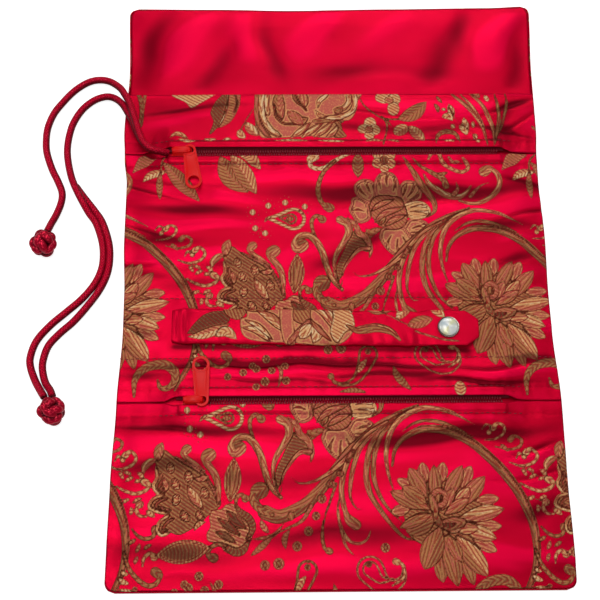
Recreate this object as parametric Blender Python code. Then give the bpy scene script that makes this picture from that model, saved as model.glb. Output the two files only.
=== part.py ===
# Jewelry roll of red silk brocade, opened flat with its inside facing up.
# Millimetres in the sizes below, metres in the meshes, +Z up, +Y towards the plain flap.
# The origin is the middle of the flat underside of the cloth body.
import math

import bpy
from mathutils import Vector

MM = 0.001

# Driving sizes of the cloth body.
WIDTH = 205.0
LENGTH = 296.0
CORNER_RADIUS = 4.5
CLEARANCE = 0.3
OUTER_CLOTH = 0.5
RIM_HEIGHT = 1.8
RIM_WIDTH = 0.6
WADDING = 1.0
LINING_CLOTH = 0.4
PANEL_CLOTH = 0.6
PANEL_INSET = 0.4
FLAP_SEAM_Y = 95.7
FLAP_LOFT = 0.9
STRIP_LOFT = 0.7
POCKET_LOFT = 1.1

# Zips: where each one lies, how far its slit stays off each side edge and its lips stand apart.
UPPER_ZIP_Y = 62.6
LOWER_ZIP_Y = -63.2
UPPER_MARGINS = (15.5, 20.5)
LOWER_MARGINS = (29.0, 26.0)
UPPER_SLIT = (UPPER_MARGINS[0] - WIDTH / 2.0, WIDTH / 2.0 - UPPER_MARGINS[1])
LOWER_SLIT = (LOWER_MARGINS[0] - WIDTH / 2.0, WIDTH / 2.0 - LOWER_MARGINS[1])
UPPER_LIP_GAP = (5.0, 3.8)
LOWER_LIP_GAP = (3.7, 3.4)
LIP_TAPER = 6.0
STITCH_OFF_ZIP = 6.4
LIFT_RUN = 6.5
LIFT_EASE = 0.8
TAPE_CLOTH = 0.3
TAPE_WIDTH = 11.0
TAPE_SPLIT = 2.5
TAPE_OVERLAP = 3.0
COIL_HEIGHT = 1.0
COIL_WIDTH = 2.3
COIL_PITCH = 2.5
COIL_TOOTH = 1.8
COIL_MESH_GAP = 0.62
COIL_SEAT = 0.2

# Slider bodies and pull tabs.
PLATE = 0.6
SLIDER_LENGTH = 10.0
SLIDER_FLARE = 1.2
SLIDER_WALL = 0.7
WEDGE_FRONT = 0.8
WEDGE_LENGTH = 3.4
WEDGE_WIDTH = 1.8
BRIDGE_SPAN = 9.2
BRIDGE_BAR = 1.1
BRIDGE_LEG = 1.265
BRIDGE_WIDTH = 2.0
TAB_THICK = 1.2
TAB_REACH = 16.6
TAB_EYE_OUTER = 3.1
TAB_EYE_HOLE = 2.0
TAB_END_OUTER = 4.0
TAB_END_HOLE = 2.75
TAB_RIM = 0.9
TAB_RECESS = 0.3
UPPER_SLIDER_X = UPPER_SLIT[0] + 13.4
LOWER_SLIDER_X = LOWER_SLIT[0] + 8.1
UPPER_TAB_LEAN = 8.0
LOWER_TAB_LEAN = 2.5

# Strap for rings and its snap fastener.
STRAP_WIDTH = 17.1
STRAP_MARGINS = (26.5, 36.8)
STRAP_LEFT = STRAP_MARGINS[0] - WIDTH / 2.0
STRAP_RIGHT = WIDTH / 2.0 - STRAP_MARGINS[1]
STRAP_Y = -27.0
STRAP_DROP = 2.6
STRAP_LOFT = 2.8
STRAP_END_CLOTH = 0.8
STRAP_TIP = 6.0
STRAP_STITCH_TOP = -12.8
STRAP_STITCH_LOW = -42.3
SNAP_INSET = 14.3
SNAP_RADIUS = 5.1
PEARL_RADIUS = 4.35
PEARL_HEIGHT = 1.7
SNAP_PLATE = 0.6
STUD_RADIUS = 1.8
STUD_HEIGHT = 1.4
SOCKET_DEPTH = 1.3

# Tie cords.
CORD_DIAMETER = 3.0
CORD_STEP = 7.0
CORD_BED = 9.0
KNOT_RADIUS = 6.9
KNOT_SWELL = 0.07

# Height of every layer of the stack, worked out from the cloth up.
PAD_LOW = OUTER_CLOTH + CLEARANCE
PAD_TOP = PAD_LOW + WADDING
LINING_LOW = PAD_TOP + CLEARANCE
LINING_TOP = LINING_LOW + LINING_CLOTH
SIDE_LOW = LINING_TOP + CLEARANCE
SLIDER_LOW = LINING_TOP + CLEARANCE
TAPE_LOW = SLIDER_LOW + PLATE + CLEARANCE
TAPE_TOP = TAPE_LOW + TAPE_CLOTH
COIL_LOW = TAPE_TOP + COIL_SEAT
COIL_TOP = COIL_LOW + COIL_HEIGHT
PLATE_LOW = COIL_TOP + CLEARANCE
PLATE_TOP = PLATE_LOW + PLATE
LIP_LOW = PLATE_TOP + CLEARANCE
TAB_LOW = LIP_LOW + PANEL_CLOTH + CLEARANCE
TAB_TOP = TAB_LOW + TAB_THICK
BRIDGE_LOW = TAB_TOP + CLEARANCE
BRIDGE_TOP = BRIDGE_LOW + BRIDGE_BAR
SEAM_LOW = TAPE_TOP + CLEARANCE
BED_LOW = LINING_TOP + SNAP_PLATE + 2 * CLEARANCE
FOLD_ROOM = TAB_LOW - CLEARANCE - PANEL_CLOTH
COIL_BACK = COIL_WIDTH + COIL_MESH_GAP / 2.0
SLIDER_TAIL = 2.0 * (COIL_BACK + CLEARANCE + SLIDER_WALL)
SLIDER_MOUTH = SLIDER_TAIL + SLIDER_FLARE

# How far the side edges draw in from the full width: (y, left, right).
SIDE_DRAW = (
    (-148.0, 0.0, 0.2), (-130.0, 0.1, 0.0), (-101.0, 0.5, 0.5), (-64.0, 1.8, 0.2),
    (-28.0, 3.4, 2.0), (-10.0, 3.3, 2.2), (17.0, 2.2, 1.7), (47.0, 2.3, 2.6),
    (62.0, 0.7, 2.4), (76.0, 0.0, 1.6), (108.0, 1.5, 1.6), (146.0, 0.3, 0.3),
)
SIDE_DRAW_LENGTH = 296.0
# How far the flap's top edge sags from the full length: (x, sag).
TOP_SAG = ((-102.5, 1.2), (-60.0, 1.6), (-20.0, 2.4), (30.0, 1.6), (80.0, 1.0), (102.5, 0.0))
TOP_SAG_WIDTH = 205.0
BODY_COLUMNS = 14

# Soft folds of the cloth: (x, y, half length, half width, height).
UPPER_FOLDS = ((-30.0, 84.0, 60.0, 7.0, 0.9), (55.0, 86.0, 45.0, 6.0, 1.1))
MIDDLE_FOLDS = (
    (-20.0, 36.0, 70.0, 6.0, 0.9), (50.0, 22.0, 60.0, 9.0, 1.2), (-60.0, 14.0, 30.0, 4.0, 1.2),
    (-45.0, 1.0, 55.0, 5.0, 1.0), (45.0, -2.0, 50.0, 5.0, 0.8), (0.0, -50.0, 90.0, 4.0, 0.8),
)
LOWER_FOLDS = (
    (-20.0, -76.0, 80.0, 5.0, 1.2), (60.0, -92.0, 50.0, 7.0, 1.0), (-55.0, -96.0, 50.0, 7.0, 1.1),
    (0.0, -118.0, 80.0, 9.0, 1.3), (30.0, -138.0, 70.0, 5.0, 0.7),
)
FLAP_FOLDS = (
    (-82.0, 128.0, 8.0, 22.0, 0.7), (-40.0, 122.0, 9.0, 22.0, 0.9), (10.0, 118.0, 14.0, 24.0, 0.8),
    (55.0, 130.0, 12.0, 20.0, 0.9), (86.0, 118.0, 7.0, 24.0, 0.6),
)

# Routes of the tie cords, from where each one starts to its knot.
SINGLE_ROUTE = (
    (-80.2, 62.0, 6.2), (-83.9, 61.7, 8.6), (-88.6, 62.6, 9.7), (-92.3, 66.5, 9.8),
    (-94.6, 72.3, 9.7), (-96.4, 78.6, 9.5), (-98.3, 84.5, 8.7), (-100.2, 90.1, 7.0),
    (-102.5, 94.8, 5.9), (-105.3, 99.4, 4.4), (-110.8, 104.1, 2.4), (-116.7, 105.3, 1.7),
    (-122.3, 103.6, 1.6), (-128.4, 98.9, 1.6), (-133.8, 92.3, 1.6), (-137.8, 85.9, 1.6),
    (-140.2, 78.1, 1.6), (-140.5, 70.3, 1.6), (-139.6, 64.0, 1.6), (-136.7, 55.7, 1.6),
    (-133.6, 49.4, 1.6), (-131.2, 43.2, 1.6), (-131.3, 37.8, 1.7), (-133.0, 31.4, 2.4),
    (-135.1, 25.2, 4.2), (-136.3, 20.7, 5.9),
)
DOUBLE_ROUTE = (
    (-86.2, 63.7, 5.8), (-89.0, 65.0, 6.2), (-93.2, 68.8, 6.4), (-95.9, 74.1, 6.4),
    (-97.9, 79.7, 6.2), (-100.4, 84.4, 5.4), (-103.7, 90.2, 4.3), (-107.8, 94.4, 2.6),
    (-112.4, 95.8, 1.7), (-118.0, 93.8, 1.6), (-123.5, 88.8, 1.6), (-127.5, 81.6, 1.6),
    (-129.3, 74.5, 1.6), (-129.9, 66.8, 1.6), (-129.1, 59.7, 1.8), (-126.9, 50.9, 2.9),
    (-123.9, 43.5, 3.9), (-120.8, 37.5, 3.6), (-117.6, 32.0, 2.4), (-113.8, 26.4, 1.7),
    (-110.6, 16.7, 1.6), (-109.8, 8.0, 1.6), (-110.9, 1.0, 1.6), (-114.0, -5.7, 1.6),
    (-119.2, -12.4, 1.6), (-125.7, -18.5, 1.6), (-132.8, -25.1, 1.6), (-138.6, -32.5, 1.6),
    (-141.0, -40.0, 1.6), (-140.7, -45.2, 1.6), (-138.0, -52.1, 2.6), (-134.6, -58.0, 5.0),
    (-132.6, -61.2, 6.9),
)
RETURN_ROUTE = (
    (-121.2, 45.6, 1.6), (-117.9, 39.0, 1.6), (-113.7, 33.0, 1.6), (-110.1, 27.0, 1.6),
    (-107.0, 16.7, 1.6), (-106.2, 8.0, 1.6), (-107.2, 0.2, 1.6), (-110.6, -8.0, 1.6),
    (-116.2, -15.7, 1.6), (-122.1, -23.2, 1.6), (-128.3, -29.2, 1.6), (-133.0, -35.0, 1.6),
    (-135.0, -41.5, 1.6), (-135.1, -46.7, 1.6), (-133.3, -53.0, 2.2), (-130.6, -57.2, 3.9),
    (-129.2, -60.4, 5.2),
)
SINGLE_KNOT = (-137.4, 14.1)
PAIR_KNOT = (-128.8, -68.0)


def clear_scene():
    for thing in list(bpy.data.objects):
        bpy.data.objects.remove(thing, do_unlink=True)


def make_material(name, colour, roughness, metallic=0.0):
    material = bpy.data.materials.new(name)
    material.use_nodes = True
    shader = material.node_tree.nodes["Principled BSDF"]
    shader.inputs["Base Color"].default_value = (*colour, 1.0)
    shader.inputs["Roughness"].default_value = roughness
    shader.inputs["Metallic"].default_value = metallic
    material.diffuse_color = (*colour, 1.0)
    return material


def add_object(name, mesh, material, origin=(0.0, 0.0, 0.0)):
    thing = bpy.data.objects.new(name, mesh)
    thing.location = Vector(origin) * MM
    thing.data.materials.append(material)
    bpy.context.scene.collection.objects.link(thing)
    return thing


def mesh_from(name, points, faces, smooth=True):
    mesh = bpy.data.meshes.new(name)
    mesh.from_pydata([Vector(point) * MM for point in points], [], faces)
    mesh.update()
    if smooth:
        mesh.shade_smooth()
        mesh.set_sharp_from_angle(angle=math.radians(40.0))
    return mesh


def smoothstep(low, high, value):
    share = min(max((value - low) / (high - low), 0.0), 1.0)
    return share * share * (3.0 - 2.0 * share)


def curve_value(rows, position, column=1):
    """A smooth value between the rows of a short table, by its first column."""
    if position <= rows[0][0]:
        return rows[0][column]
    for low, high in zip(rows, rows[1:]):
        if position <= high[0]:
            share = smoothstep(low[0], high[0], position)
            return low[column] + (high[column] - low[column]) * share
    return rows[-1][column]


def corner_cut(distance):
    """How far a rounded corner pulls the side in, by the distance to the end edge."""
    if distance >= CORNER_RADIUS:
        return 0.0
    rest = CORNER_RADIUS - max(distance, 0.0)
    return CORNER_RADIUS - math.sqrt(CORNER_RADIUS ** 2 - rest ** 2)


def side_x(y, side, inset=0.0):
    """The x of the body's left (-1) or right (1) edge at a height y."""
    column = 1 if side < 0 else 2
    draw = curve_value(SIDE_DRAW, y * SIDE_DRAW_LENGTH / LENGTH, column)
    cut = corner_cut(LENGTH / 2.0 - inset - abs(y))
    return side * (WIDTH / 2.0 - draw - cut - inset)


def sag_top(x, y):
    """The y of a point once the flap's top edge has sagged."""
    near_top = smoothstep(LENGTH / 2.0 - 12.0, LENGTH / 2.0, y)
    return y - near_top * curve_value(TOP_SAG, x * TOP_SAG_WIDTH / WIDTH)


def fold_height(folds, x, y):
    total = 0.0
    for centre_x, centre_y, half_length, half_width, height in folds:
        along = (x - centre_x) / half_length
        across = (y - centre_y) / half_width
        total += height * math.exp(-along * along - across * across)
    return total


def lip_gap(zip_slit, gaps, x):
    """Half the opening between a zip's two lips at x."""
    left, right = zip_slit
    middle = gaps[0] + (gaps[1] - gaps[0]) * min(max((x - left) / (right - left), 0.0), 1.0)
    closed = CLEARANCE
    start = smoothstep(left - LIP_TAPER, left, x)
    end = 1.0 - smoothstep(right, right + LIP_TAPER, x)
    return (closed + (middle - closed) * start * end) / 2.0


def upper_gap(x):
    return lip_gap(UPPER_SLIT, UPPER_LIP_GAP, x)


def lower_gap(x):
    return lip_gap(LOWER_SLIT, LOWER_LIP_GAP, x)


def zip_lift(slit, zip_y, x, y):
    """Least underside of a panel near a zip: over the tape, and over the slider at its lips."""
    reach = SLIDER_MOUTH / 2.0 + CLEARANCE
    rise_left = slider_ends(slit)[0]
    rise_right = slider_ends(slit)[1]
    on_slider = smoothstep(rise_left - LIFT_RUN, rise_left - LIFT_EASE, x)
    on_slider *= 1.0 - smoothstep(rise_right + LIFT_EASE, rise_right + LIFT_RUN, x)
    tape_run = TAPE_OVERLAP + LIFT_EASE
    on_tape = smoothstep(rise_left - LIFT_RUN, rise_left - tape_run, x)
    on_tape *= 1.0 - smoothstep(rise_right + tape_run, rise_right + LIFT_RUN, x)
    from_zip = abs(y - zip_y)
    over_tape = 1.0 - smoothstep(TAPE_WIDTH + 1.0, TAPE_WIDTH + 5.0, from_zip)
    over_lip = 1.0 - smoothstep(reach, reach + 2.0, from_zip)
    height = SIDE_LOW + (SEAM_LOW - SIDE_LOW) * on_tape * over_tape
    return height + (LIP_LOW - SEAM_LOW) * on_slider * over_lip


def slider_ends(slit):
    """How far left and right a slider's body reaches over its whole travel."""
    if slit is UPPER_SLIT:
        return UPPER_SLIDER_X - SLIDER_LENGTH / 2.0, UPPER_SLIT[1] - 1.5
    return LOWER_SLIDER_X - SLIDER_LENGTH / 2.0, LOWER_SLIT[1] - 1.5


def side_fall(x, y):
    """Falls from 1 in the panel's field to 0 at the side seams."""
    left = side_x(y, -1)
    right = side_x(y, 1)
    return smoothstep(left, left + 11.0, x) * (1.0 - smoothstep(right - 11.0, right, x))


def seam_dip(y, seam_y, half_width=3.2):
    """Pulls the cloth down to nothing at a row of stitches."""
    return 1.0 - math.exp(-((y - seam_y) / half_width) ** 2)


def strap_line(x):
    """The strap's middle line, which leans a little across the panel."""
    return STRAP_Y - STRAP_DROP * (x - STRAP_LEFT) / (STRAP_RIGHT - STRAP_LEFT)


def upper_low(x, y):
    base = zip_lift(UPPER_SLIT, UPPER_ZIP_Y, x, y)
    puff = (STRIP_LOFT + fold_height(UPPER_FOLDS, x, y)) * seam_dip(y, UPPER_ZIP_Y + STITCH_OFF_ZIP)
    puff *= smoothstep(0.0, 8.0, FLAP_SEAM_Y - y) * side_fall(x, y)
    cord_side = UPPER_SLIT[0] + CORD_BED
    puff *= smoothstep(cord_side, cord_side + 16.0, x) * smoothstep(3.0, 9.0, y - UPPER_ZIP_Y)
    return min(base + puff, FOLD_ROOM)


def middle_low(x, y):
    base = max(zip_lift(UPPER_SLIT, UPPER_ZIP_Y, x, y), zip_lift(LOWER_SLIT, LOWER_ZIP_Y, x, y))
    puff = POCKET_LOFT + fold_height(MIDDLE_FOLDS, x, y)
    zip_seams = (UPPER_ZIP_Y - STITCH_OFF_ZIP, LOWER_ZIP_Y + STITCH_OFF_ZIP)
    for seam_y in (*zip_seams, STRAP_STITCH_TOP, STRAP_STITCH_LOW):
        puff *= seam_dip(y, seam_y)
    puff *= smoothstep(4.0, 9.0, UPPER_ZIP_Y - y) * smoothstep(4.0, 9.0, y - LOWER_ZIP_Y)
    height = base + puff * side_fall(x, y)
    bed_x = smoothstep(STRAP_LEFT - 14.0, STRAP_LEFT - 3.0, x)
    bed_x *= 1.0 - smoothstep(STRAP_RIGHT + 3.0, STRAP_RIGHT + 14.0, x)
    bed_y = 1.0 - smoothstep(STRAP_WIDTH / 2.0 - 1.0, STRAP_WIDTH / 2.0 + 4.0, abs(y - strap_line(x)))
    height += (BED_LOW - height) * bed_x * bed_y
    return min(height, FOLD_ROOM)


def lower_low(x, y):
    base = zip_lift(LOWER_SLIT, LOWER_ZIP_Y, x, y)
    puff = POCKET_LOFT + fold_height(LOWER_FOLDS, x, y)
    puff *= seam_dip(y, LOWER_ZIP_Y - STITCH_OFF_ZIP) * smoothstep(0.0, 9.0, y + LENGTH / 2.0)
    puff *= side_fall(x, y) * smoothstep(4.0, 9.0, LOWER_ZIP_Y - y)
    return min(base + puff, FOLD_ROOM)


def lining_low(x, y):
    if y < FLAP_SEAM_Y:
        return LINING_LOW
    loft = FLAP_LOFT + fold_height(FLAP_FOLDS, x, y)
    loft *= smoothstep(FLAP_SEAM_Y, FLAP_SEAM_Y + 7.0, y) * smoothstep(0.0, 8.0, LENGTH / 2.0 - y)
    return LINING_LOW + loft * side_fall(x, y)


def spread(count, pull=0.09):
    """Shares from 0 to 1, closer together at the ends."""
    shares = []
    for index in range(count + 1):
        share = index / count
        shares.append(share - pull * math.sin(2.0 * math.pi * share))
    return shares


def rows_between(low, high, marks, step):
    """Row positions from low to high that hit the marks and leave no gap over step."""
    stops = sorted([low, high] + [mark for mark in marks if low < mark < high])
    rows = [stops[0]]
    for start, end in zip(stops, stops[1:]):
        parts = max(1, math.ceil((end - start) / step))
        rows += [start + (end - start) * part / parts for part in range(1, parts + 1)]
    return rows


def between_lips(rows, low_edge, high_edge):
    """Bends the first and last rows of a panel to its two edge lines."""
    first, last = rows[0], rows[-1]

    def bend(x, row):
        along = (row - first) / (last - first)
        return row + (low_edge(x) - first) * (1.0 - along) ** 6 + (high_edge(x) - last) * along ** 6

    return bend


def spread_columns(count):
    """Columns at equal shares of each row's own width."""
    return lambda left, right: [left + (right - left) * share for share in spread(count)]


def zip_columns(slits):
    """Columns that hit the places where the lips of these zips open, rise and close."""
    marks = []
    for slit in slits:
        rise_left, rise_right = slider_ends(slit)
        for run in (LIFT_EASE, TAPE_OVERLAP + LIFT_EASE, LIFT_RUN):
            marks += [rise_left - run, rise_right + run]
    edge = WIDTH / 2.0 - 2.0 * CORNER_RADIUS
    for slit in slits:
        for mark in (slit[0], slit[1], slit[0] - LIP_TAPER, slit[1] + LIP_TAPER):
            if min(abs(mark - other) for other in marks) > 1.4 and abs(mark) < edge - 1.4:
                marks.append(mark)
    inner = rows_between(-edge, edge, marks, 19.0)
    turn = CORNER_RADIUS * 0.6
    return lambda left, right: [left, left + turn] + inner + [right - turn, right]


def sheet(name, material, bend, rows, columns, inset, underside, cloth):
    """A sheet of cloth as one closed shell: a top and an underside grid joined at the rim."""
    tops, lows = [], []
    for row in rows:
        xs = columns(side_x(row, -1, inset), side_x(row, 1, inset))
        for x in xs:
            y = bend(x, row)
            z = underside(x, y)
            lows.append((x, y, z))
            tops.append((x, y, z + cloth))
    width = len(xs)
    columns = width - 1
    count = len(tops)
    faces = []
    for row in range(len(rows) - 1):
        for column in range(columns):
            a = row * width + column
            b, c, d = a + 1, a + 1 + width, a + width
            faces.append((a, b, c, d))
            faces.append((count + a, count + d, count + c, count + b))
    rim = [column for column in range(width)]
    rim += [row * width + columns for row in range(1, len(rows))]
    rim += [(len(rows) - 1) * width + column for column in range(columns - 1, -1, -1)]
    rim += [row * width for row in range(len(rows) - 2, 0, -1)]
    for a, b in zip(rim, rim[1:] + rim[:1]):
        faces.append((a, count + a, count + b, b))
    return add_object(name, mesh_from(name, tops + lows, faces), material)


def body_rows(inset):
    """Row positions that follow the waisted sides and the round corners of the body."""
    reach = LENGTH / 2.0 - inset
    corner = [reach - CORNER_RADIUS * (1.0 - math.cos(math.radians(angle))) for angle in (0, 35, 60, 90)]
    knots = [row[0] * LENGTH / SIDE_DRAW_LENGTH for row in SIDE_DRAW]
    knots += [FLAP_SEAM_Y, FLAP_SEAM_Y + 4.0, FLAP_SEAM_Y + 9.0, LENGTH / 2.0 - 9.0]
    low = [-y for y in corner]
    return low + sorted(y for y in knots if abs(y) < corner[-1] - 0.5) + list(reversed(corner))


def body_outline(inset):
    """The body's outline, counterclockwise, drawn in by inset."""
    rows = body_rows(inset)
    right = [(side_x(y, 1, inset), y) for y in rows]
    left = [(side_x(y, -1, inset), y) for y in reversed(rows)]
    last_right, first_left = right[-1], left[0]
    top = [(last_right[0] + (first_left[0] - last_right[0]) * share, last_right[1])
           for share in spread(BODY_COLUMNS)[1:-1]]
    return [(x, sag_top(x, y)) for x, y in right + top + left]


def loft(name, material, rings, origin=(0.0, 0.0, 0.0), smooth=True):
    """A closed solid through rings of equal length, listed from the bottom up."""
    count = len(rings[0])
    points = [point for ring in rings for point in ring]
    faces = [tuple(reversed(range(count)))]
    for level in range(len(rings) - 1):
        base = level * count
        for index in range(count):
            after = (index + 1) % count
            faces.append((base + index, base + after, base + count + after, base + count + index))
    faces.append(tuple(range((len(rings) - 1) * count, len(rings) * count)))
    return add_object(name, mesh_from(name, points, faces, smooth), material, origin)


def prism(name, material, outline, low, high, origin=(0.0, 0.0, 0.0)):
    rings = [[(x, y, z) for x, y in outline] for z in (low, high)]
    return loft(name, material, rings, origin)


def circle(radius, steps, centre=(0.0, 0.0)):
    turns = [2.0 * math.pi * step / steps for step in range(steps)]
    return [(centre[0] + radius * math.cos(turn), centre[1] + radius * math.sin(turn)) for turn in turns]


def turned(name, material, profile, steps, origin):
    """A solid of revolution about +Z from an open profile of (radius, z) that ends on the axis."""
    rings = [[(x, y, z) for x, y in circle(radius, steps)] for radius, z in profile]
    return loft(name, material, rings, origin)


def turned_ring(name, material, profile, steps, origin):
    """A ring of revolution about +Z from a closed profile of (radius, z)."""
    points, faces = [], []
    around = len(profile)
    for step in range(steps):
        turn = 2.0 * math.pi * step / steps
        points += [(radius * math.cos(turn), radius * math.sin(turn), z) for radius, z in profile]
    for step in range(steps):
        here = step * around
        there = ((step + 1) % steps) * around
        for index in range(around):
            after = (index + 1) % around
            faces.append((here + index, there + index, there + after, here + after))
    return add_object(name, mesh_from(name, points, faces), material, origin)


def boolean(target, other, operation):
    step = target.modifiers.new(other.name, "BOOLEAN")
    step.object = other
    step.operation = operation
    step.solver = "EXACT"
    other.hide_render = True
    other.display_type = "WIRE"


def make_outer_panel(material):
    """Brocade back: a flat base whose edge is turned up around the wadding."""
    edge = body_outline(0.0)
    inner = body_outline(RIM_WIDTH)
    rim_top = OUTER_CLOTH + RIM_HEIGHT
    rings = [
        [(x, y, 0.0) for x, y in edge],
        [(x, y, rim_top) for x, y in edge],
        [(x, y, rim_top) for x, y in inner],
        [(x, y, OUTER_CLOTH) for x, y in inner],
    ]
    return loft("outer_panel", material, rings)


def make_wadding(material):
    outline = body_outline(RIM_WIDTH + CLEARANCE)
    return prism("wadding", material, outline, PAD_LOW, PAD_TOP)


def make_lining(material):
    """Plain satin sheet: hidden behind the pockets, open to view as the flap."""
    inset = RIM_WIDTH + CLEARANCE
    columns = spread_columns(BODY_COLUMNS)
    return sheet("lining", material, sag_top, body_rows(inset), columns, inset, lining_low, LINING_CLOTH)


def make_panels(brocade):
    """The three brocade panels that make the pockets, with a zip between each two."""
    edge = LENGTH / 2.0 - PANEL_INSET
    wing = SLIDER_MOUTH / 2.0 + CLEARANCE
    off_zip = [wing, STITCH_OFF_ZIP, TAPE_WIDTH + 0.9, TAPE_WIDTH + 5.0]
    top_lip = UPPER_ZIP_Y + upper_gap(0.0)
    marks = [UPPER_ZIP_Y + off for off in off_zip] + [FLAP_SEAM_Y - 3.0]
    rows = rows_between(top_lip, FLAP_SEAM_Y, marks, 8.0)
    bend = between_lips(rows, lambda x: UPPER_ZIP_Y + upper_gap(x), lambda x: FLAP_SEAM_Y)
    columns = zip_columns([UPPER_SLIT])
    sheet("upper_strip", brocade, bend, rows, columns, PANEL_INSET, upper_low, PANEL_CLOTH)

    low_lip = LOWER_ZIP_Y + lower_gap(0.0)
    high_lip = UPPER_ZIP_Y - upper_gap(0.0)
    marks = [LOWER_ZIP_Y + off for off in off_zip] + [UPPER_ZIP_Y - off for off in off_zip]
    for seam_y in (STRAP_STITCH_LOW, STRAP_STITCH_TOP):
        marks += [seam_y - 3.0, seam_y, seam_y + 3.0]
    rows = rows_between(low_lip, high_lip, marks, 8.5)
    bend = between_lips(rows, lambda x: LOWER_ZIP_Y + lower_gap(x), lambda x: UPPER_ZIP_Y - upper_gap(x))
    columns = zip_columns([UPPER_SLIT, LOWER_SLIT])
    sheet("middle_panel", brocade, bend, rows, columns, PANEL_INSET, middle_low, PANEL_CLOTH)

    lip = LOWER_ZIP_Y - lower_gap(0.0)
    marks = [LOWER_ZIP_Y - off for off in off_zip]
    marks += [-edge + CORNER_RADIUS * share for share in (0.2, 0.5, 1.0, 2.0)]
    rows = rows_between(-edge, lip, marks, 9.0)
    bend = between_lips(rows, lambda x: -edge, lambda x: LOWER_ZIP_Y - lower_gap(x))
    columns = zip_columns([LOWER_SLIT])
    sheet("lower_panel", brocade, bend, rows, columns, PANEL_INSET, lower_low, PANEL_CLOTH)


def coil_outline(start, end, side, shift):
    """Half of a zip's coil in plan: a straight back edge and a row of pointed teeth."""
    teeth = max(2, int((end - start) / COIL_PITCH))
    tip = -side * (COIL_TOOTH / 2.0 - COIL_MESH_GAP / 2.0)
    root = tip + side * COIL_TOOTH
    back = side * COIL_BACK
    points = []
    for tooth in range(teeth):
        x = start + (tooth + shift) * COIL_PITCH
        points.append((x, root))
        points.append((x + COIL_PITCH / 2.0, tip))
    points.append((start + (teeth + shift) * COIL_PITCH, root))
    points.append((points[-1][0], back))
    points.append((points[0][0], back))
    return points if side > 0 else list(reversed(points))


def make_zip(label, zip_y, slit, slider_x, tape_material, coil_material):
    """Tape and coil halves of one zip, meshed and closed along the whole slit."""
    left = slider_ends(slit)[0] - TAPE_OVERLAP
    right = slider_ends(slit)[1] + TAPE_OVERLAP
    coil_start = slider_x - SLIDER_LENGTH / 2.0 + WEDGE_FRONT + WEDGE_LENGTH + CLEARANCE
    for half, side in (("top", 1), ("bottom", -1)):
        near = zip_y + side * TAPE_SPLIT / 2.0
        far = zip_y + side * TAPE_WIDTH
        low_y, high_y = min(near, far), max(near, far)
        corners = [(left, low_y), (right, low_y), (right, high_y), (left, high_y)]
        prism(f"{label}_tape_{half}", tape_material, corners, TAPE_LOW, TAPE_TOP)
        shift = 0.0 if side > 0 else 0.5
        outline = [(x, zip_y + y) for x, y in coil_outline(coil_start, right - TAPE_OVERLAP, side, shift)]
        prism(f"{label}_coil_{half}", coil_material, outline, COIL_LOW, COIL_TOP)


def slider_outline():
    """Slider plate in plan: a wide mouth with two lobes at -X and a narrower tail at +X."""
    front = -SLIDER_LENGTH / 2.0
    back = SLIDER_LENGTH / 2.0
    mouth = SLIDER_MOUTH / 2.0
    tail = SLIDER_TAIL / 2.0
    upper = [
        (front + 1.1, 0.0), (front + 0.3, 1.1), (front, 2.2), (front + 0.3, mouth - 0.7),
        (front + 1.2, mouth), (-0.6, mouth - 0.3), (back - 2.4, tail), (back - 0.7, tail - 0.6),
        (back, tail - 1.8),
    ]
    lower = [(x, -y) for x, y in reversed(upper[1:])]
    return list(reversed(upper + lower))


def arch_outline(steps=6):
    """Bridge seen from the side: a bar on two legs with rounded shoulders, as (x, z)."""
    half = BRIDGE_SPAN / 2.0
    inner_half = half - BRIDGE_LEG
    shoulder = BRIDGE_TOP - PLATE_TOP
    outer = [(-half, PLATE_LOW + PLATE / 2.0)]
    inner = [(inner_half, PLATE_LOW + PLATE / 2.0)]
    for step in range(steps + 1):
        turn = math.pi - math.pi * step / steps
        lean = abs(math.cos(turn)) ** 0.5 * math.copysign(1.0, math.cos(turn))
        rise = math.sin(turn) ** 0.6 if math.sin(turn) > 1e-9 else 0.0
        outer.append((half * lean, PLATE_TOP + shoulder * (0.35 + 0.65 * rise)))
    for step in range(steps + 1):
        turn = math.pi * step / steps
        lean = abs(math.cos(turn)) ** 0.5 * math.copysign(1.0, math.cos(turn))
        rise = math.sin(turn) ** 0.4 if math.sin(turn) > 1e-9 else 0.0
        inner.append((inner_half * lean, PLATE_TOP + (BRIDGE_LOW - PLATE_TOP) * (0.2 + 0.8 * rise)))
    outer.append((half, PLATE_LOW + PLATE / 2.0))
    inner.append((-inner_half, PLATE_LOW + PLATE / 2.0))
    return outer + inner


def pivot_offset():
    """Where the pull tab turns: the middle of the bridge's right leg."""
    return (BRIDGE_SPAN - BRIDGE_LEG) / 2.0


def channel_outline():
    """The channel between the plates in plan, open at both ends and wide enough for the coil."""
    half = SLIDER_LENGTH / 2.0
    mouth = SLIDER_MOUTH / 2.0 - SLIDER_WALL
    tail = SLIDER_TAIL / 2.0 - SLIDER_WALL
    side = [(-half - 2.0, mouth), (-1.5, mouth), (half - 3.0, tail), (half + 2.0, tail)]
    return [(x, -y) for x, y in side] + list(reversed(side))


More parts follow.
